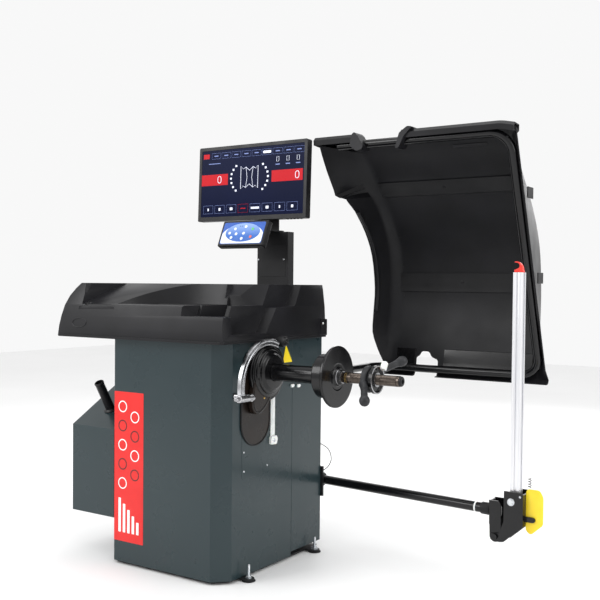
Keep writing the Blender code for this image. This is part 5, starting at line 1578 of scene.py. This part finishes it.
# ---------------------------------------------------------------- width gauge
def width_gauge():
    """Cross tube, link, bracket, slotted column, hook, flag and spring."""
    tube_from, tube_to = Vector((-0.085, 0.6598, 0.2585)), Vector((0.7217, 0.5860, 0.2585))
    along = (tube_to - tube_from).normalized()
    length = (tube_to - tube_from).length
    creased("gauge_mount", "satin", 0.0010, fine=0.0006)
    bm = bmesh.new()
    lathe(bm, band(0.015, 0.0175, length), tube_from, along, 48, ring=True)
    build("cross_tube_bar", bm, "enamel", "width_tube", "black_paint", "cross_tube", edge=0.0006)
    bm = bmesh.new()
    lathe(bm, band(0.0172, 0.0179, 0.006),
          tube_from + along * (length - 0.062), along, 48, ring=True)
    build("cross_tube_band", bm, "acetal", "width_tube", "white_plastic")
    bm = bmesh.new()
    lathe(bm, [(0, 0.0172), (0, 0.0212), (0.030, 0.0212), (0.034, 0.0190), (0.034, 0.0172)],
          tube_from + along * (length - 0.036), along, 48, ring=True)
    build("cross_tube_collar", bm, "satin", "width_tube", "black_paint", edge=0.001)
    creased("gauge_link", "enamel", 0.0012, fine=0.0008)
    creased("column_bracket", "enamel", 0.0012, fine=0.0008)
    creased("gauge_column", "anodised", 0.0009, fine=0.0004)
    low, high = box_of("gauge_column")
    bm = bmesh.new()
    half = 0.0011
    for x in (middle_of("gauge_column").x - 0.0118, middle_of("gauge_column").x + 0.0118):
        rib = oblong((x - half, low.z + 0.001), (x + half, high.z - 0.001), 0.0005, 2)
        prism(bm, rib, "Y", low.y - 0.0003, low.y + 0.0004)
    build("column_ribs", bm, "anodised", "width_column", "anodised_aluminium")
    x, y, z = 0.8040, 0.5750, 0.3020
    bm = bmesh.new()
    lathe(bm, disc(0.0128, 0.0014), (x, y - 0.0291, z), (0, -1, 0), 40)
    lathe(bm, [(0, 0.0), (0, 0.0100), (0.0050, 0.0100), (0.0064, 0.0086), (0.0064, 0.0)],
          (x, y - 0.0303, z), (0, -1, 0), 6, turn=0.3)
    lathe(bm, disc(0.0050, 0.0760), (x, y - 0.0300, z), (0, 1, 0), 24)
    lathe(bm, disc(0.0098, 0.0030), (x, y + 0.0425, z), (0, 1, 0), 6)
    build("column_hex_bolt", bm, "zinc", "width_column", "zinc_plate", "column_bolt", edge=0.0004)
    screws("bracket_screw", [(0.8355, y - 0.0290, 0.3230)], (0, -1, 0), 0.0040, "zinc", "width_column",
           "zinc_plate")
    hook = arc((0.8040, 1.0990), 0.0100, -70, 90, 16)
    crown = arc((0.7980, 1.0870), 0.0270, 66, 0, 14)
    outline = [(0.7955, 1.0768), (0.7955, 1.0850)] + hook + [(0.7950, 1.1110), (0.8000, 1.1138)] + crown
    outline += [(0.8280, 1.0768)]
    bm = bmesh.new()
    prism(bm, outline, "Y", y - 0.008, y + 0.008)
    build("feeler_hook", bm, "red", "width_column", "red_plastic", "hook_tip", edge=0.0012, segments=3)
    left, right, base, crest = 0.8465, 0.9060, 0.1970, 0.3480
    plate = [(left, 0.2090), (left + 0.012, base), (0.868, base), (right, 0.232), (right, 0.326),
             (0.893, crest), (left + 0.006, crest), (left, 0.338)]
    bm = bmesh.new()
    prism(bm, rounded(plate, 0.009), "Y", y - 0.002, y + 0.002)
    build("guard_flag", bm, "yellow", "width_column", "yellow_paint", "guard_plate", edge=0.0009,
          segments=3)
    bm = bmesh.new()
    coil = []
    turns, around, wide, tall = 4, 24, 0.0052, 0.0340
    for step in range(turns * around + 1):
        angle = 2 * math.pi * step / around
        coil.append((0.8580 + wide * math.cos(angle), y + wide * math.sin(angle),
                     0.3520 + tall * step / (turns * around)))
    sweep(bm, coil, circle(0.0012, 10))
    build("coil_spring", bm, "oxide", "width_column", "black_steel", "return_spring")
    refinish("rubber", "gauge_cable")


# ---------------------------------------------------------------- inner drive
def inner_drive():
    """Finishes of the parts inside, and the pins of the mains inlet."""
    refinish("satin", "spindle_column")
    refinish("anodised", "motor", "spindle_pulley")
    refinish("turned", "bearing_front", "bearing_rear", "force_sensor_left", "force_sensor_right",
             "encoder_disc", "motor_rotor")
    refinish("rubber", "drive_belt")
    refinish("zinc", "electronics_box")
    refinish("moulded", "mains_inlet", "mains_rocker")
    z = middle_of("mains_inlet").z
    half = 0.0011
    bm = bmesh.new()
    for x, tall in ((-0.4945, 0.0035), (-0.4885, 0.0060), (-0.4825, 0.0035)):
        brick(bm, (x - half, 0.6090, z + tall - 0.0045), (x + half, 0.6200, z + tall + 0.0005))
    build("mains_pins", bm, "turned", "frame", "machined_steel")


# ---------------------------------------------------------------- stage
def studio():
    """Pale floor and soft light from both sides and above."""
    half_side = 9.0
    floor = bpy.data.meshes.new("studio_floor")
    bm = bmesh.new()
    bmesh.ops.create_grid(bm, x_segments=12, y_segments=12, size=half_side)
    bm.to_mesh(floor)
    bm.free()
    floor.materials.append(material("floor"))
    ground = bpy.data.objects.new("studio_floor", floor)
    bpy.context.scene.collection.objects.link(ground)
    world = bpy.data.worlds.new("studio_air")
    world.use_nodes = True
    air = world.node_tree.nodes["Background"]
    air.inputs["Color"].default_value = linear("ffffff")
    air.inputs["Strength"].default_value = 0.94
    bpy.context.scene.world = world
    # Each lamp: its name, place, size and power in watts.
    lamps = (("window_left", (-2.6, -3.4, 3.0), (2.6, 2.2), 95.0),
             ("window_right", (3.2, 0.2, 2.2), (1.4, 2.4), 40.0),
             ("overhead", (0.2, 0.0, 4.0), (3.4, 2.6), 45.0),
             ("rear", (-1.0, 4.0, 2.4), (3.0, 2.0), 40.0))
    target = Vector((0, 0, 0.7))
    for name, place, (wide, tall), power in lamps:
        light = bpy.data.lights.new(name, "AREA")
        light.shape = "RECTANGLE"
        light.size = wide
        light.size_y = tall
        light.energy = power
        lamp = bpy.data.objects.new(name, light)
        lamp.location = place
        lamp.rotation_euler = (target - Vector(place)).to_track_quat("-Z", "Y").to_euler()
        bpy.context.scene.collection.objects.link(lamp)
    bpy.context.scene.view_settings.view_transform = "Standard"


def viewpoint():
    """The camera, at the height of a person's chest, off the front right corner."""
    # Turned to the left, a little down and very slightly rolled, in radians.
    yaw, pitch, roll = 0.590999, 0.025984, 0.0090818
    flat = math.cos(pitch)
    ahead = Vector((-math.sin(yaw) * flat, math.cos(yaw) * flat, -math.sin(pitch)))
    level = Vector((math.cos(yaw), math.sin(yaw), 0))
    upright = level.cross(ahead)
    across = level * math.cos(roll) + upright * math.sin(roll)
    rise = upright * math.cos(roll) - level * math.sin(roll)
    lens = bpy.data.cameras.new("studio_camera")
    lens.sensor_width = 36.0
    lens.lens = 54.68
    lens.shift_x = 0.01324
    lens.shift_y = 0.01284
    camera = bpy.data.objects.new("studio_camera", lens)
    turn = Matrix((across, rise, -ahead)).transposed().to_4x4()
    camera.matrix_world = Matrix.Translation(at(1.88815, -2.40340, 1.03052)) @ turn
    bpy.context.scene.collection.objects.link(camera)
    bpy.context.scene.camera = camera


# ---------------------------------------------------------------- operators
class BALANCER_OT_cabinet(bpy.types.Operator):
    """Sheet steel cabinet, storage box and feet, with their fixings"""
    bl_idname = "balancer.cabinet"
    bl_label = "Cabinet"

    def execute(self, context):
        cabinet_shells()
        cabinet_fixings()
        floor_feet()
        return {"FINISHED"}


class BALANCER_OT_graphics(bpy.types.Operator):
    """Plain front panel and plain wall sign"""
    bl_idname = "balancer.graphics"
    bl_label = "Front panel"

    def execute(self, context):
        front_decal()
        warning_triangle()
        return {"FINISHED"}


class BALANCER_OT_tray(bpy.types.Operator):
    """Formed weight tray"""
    bl_idname = "balancer.tray"
    bl_label = "Weight tray"

    def execute(self, context):
        tray_body()
        tray_details()
        return {"FINISHED"}


class BALANCER_OT_wall(bpy.types.Operator):
    """Slot cover, spindle boss and scale holder on the right wall"""
    bl_idname = "balancer.wall"
    bl_label = "Right wall"

    def execute(self, context):
        wall_pieces()
        return {"FINISHED"}


class BALANCER_OT_spindle(bpy.types.Operator):
    """Spindle sleeve, threaded shaft, flange and end cap"""
    bl_idname = "balancer.spindle"
    bl_label = "Spindle"

    def execute(self, context):
        spindle_housing()
        threaded_shaft()
        flange_and_cap()
        return {"FINISHED"}


class BALANCER_OT_nut(bpy.types.Operator):
    """Quick nut with its cup and release tab"""
    bl_idname = "balancer.nut"
    bl_label = "Quick nut"

    def execute(self, context):
        quick_nut()
        return {"FINISHED"}


class BALANCER_OT_distance_gauge(bpy.types.Operator):
    """Curved distance gauge"""
    bl_idname = "balancer.distance_gauge"
    bl_label = "Distance gauge"

    def execute(self, context):
        distance_gauge()
        return {"FINISHED"}


class BALANCER_OT_monitor(bpy.types.Operator):
    """Monitor, its picture, keypad, post and head"""
    bl_idname = "balancer.monitor"
    bl_label = "Monitor and keypad"

    def execute(self, context):
        monitor_shell()
        screen_picture()
        keypad()
        post_and_head()
        return {"FINISHED"}


class BALANCER_OT_guard(bpy.types.Operator):
    """Wheel guard shell, tube frame and hinge"""
    bl_idname = "balancer.guard"
    bl_label = "Wheel guard"

    def execute(self, context):
        guard_shell()
        guard_details()
        guard_frame()
        return {"FINISHED"}


class BALANCER_OT_width_gauge(bpy.types.Operator):
    """Width gauge: cross tube, bracket, column, hook and flag"""
    bl_idname = "balancer.width_gauge"
    bl_label = "Width gauge"

    def execute(self, context):
        width_gauge()
        return {"FINISHED"}


class BALANCER_OT_drive(bpy.types.Operator):
    """Finishes of the drive inside the cabinet and of the mains inlet"""
    bl_idname = "balancer.drive"
    bl_label = "Inner drive"

    def execute(self, context):
        inner_drive()
        return {"FINISHED"}


class BALANCER_OT_stage(bpy.types.Operator):
    """Floor, lights and camera"""
    bl_idname = "balancer.stage"
    bl_label = "Stage"

    def execute(self, context):
        studio()
        viewpoint()
        return {"FINISHED"}


class BALANCER_PT_panel(bpy.types.Panel):
    """Sizes, colours and build steps of the wheel balancer"""
    bl_idname = "BALANCER_PT_panel"
    bl_label = "Wheel balancer"
    bl_space_type = "VIEW_3D"
    bl_region_type = "UI"
    bl_category = "Wheel balancer"

    def draw(self, context):
        layout = self.layout
        for group in (context.scene.balancer_sizes, context.scene.balancer_colours):
            for name in group.__annotations__:
                layout.prop(group, name)
        for operator in OPERATORS:
            layout.operator(operator.bl_idname)


OPERATORS = (BALANCER_OT_cabinet, BALANCER_OT_graphics, BALANCER_OT_tray, BALANCER_OT_wall,
             BALANCER_OT_spindle, BALANCER_OT_nut, BALANCER_OT_distance_gauge, BALANCER_OT_monitor,
             BALANCER_OT_guard, BALANCER_OT_width_gauge, BALANCER_OT_drive, BALANCER_OT_stage)
CLASSES = (BalancerSizes, BalancerColours, *OPERATORS, BALANCER_PT_panel)


def register():
    """Make the classes and the settings known to Blender."""
    for made in CLASSES:
        bpy.utils.register_class(made)
    bpy.types.Scene.balancer_sizes = bpy.props.PointerProperty(type=BalancerSizes)
    bpy.types.Scene.balancer_colours = bpy.props.PointerProperty(type=BalancerColours)


def unregister():
    """Take them out again, in the reverse order."""
    del bpy.types.Scene.balancer_colours
    del bpy.types.Scene.balancer_sizes
    for made in reversed(CLASSES):
        bpy.utils.unregister_class(made)


def main():
    """Build every piece in order."""
    register()
    bpy.ops.balancer.cabinet()
    bpy.ops.balancer.graphics()
    bpy.ops.balancer.tray()
    bpy.ops.balancer.wall()
    bpy.ops.balancer.spindle()
    bpy.ops.balancer.nut()
    bpy.ops.balancer.distance_gauge()
    bpy.ops.balancer.monitor()
    bpy.ops.balancer.guard()
    bpy.ops.balancer.width_gauge()
    bpy.ops.balancer.drive()
    bpy.ops.balancer.stage()
    bpy.context.view_layer.update()


if __name__ == "__main__":
    main()
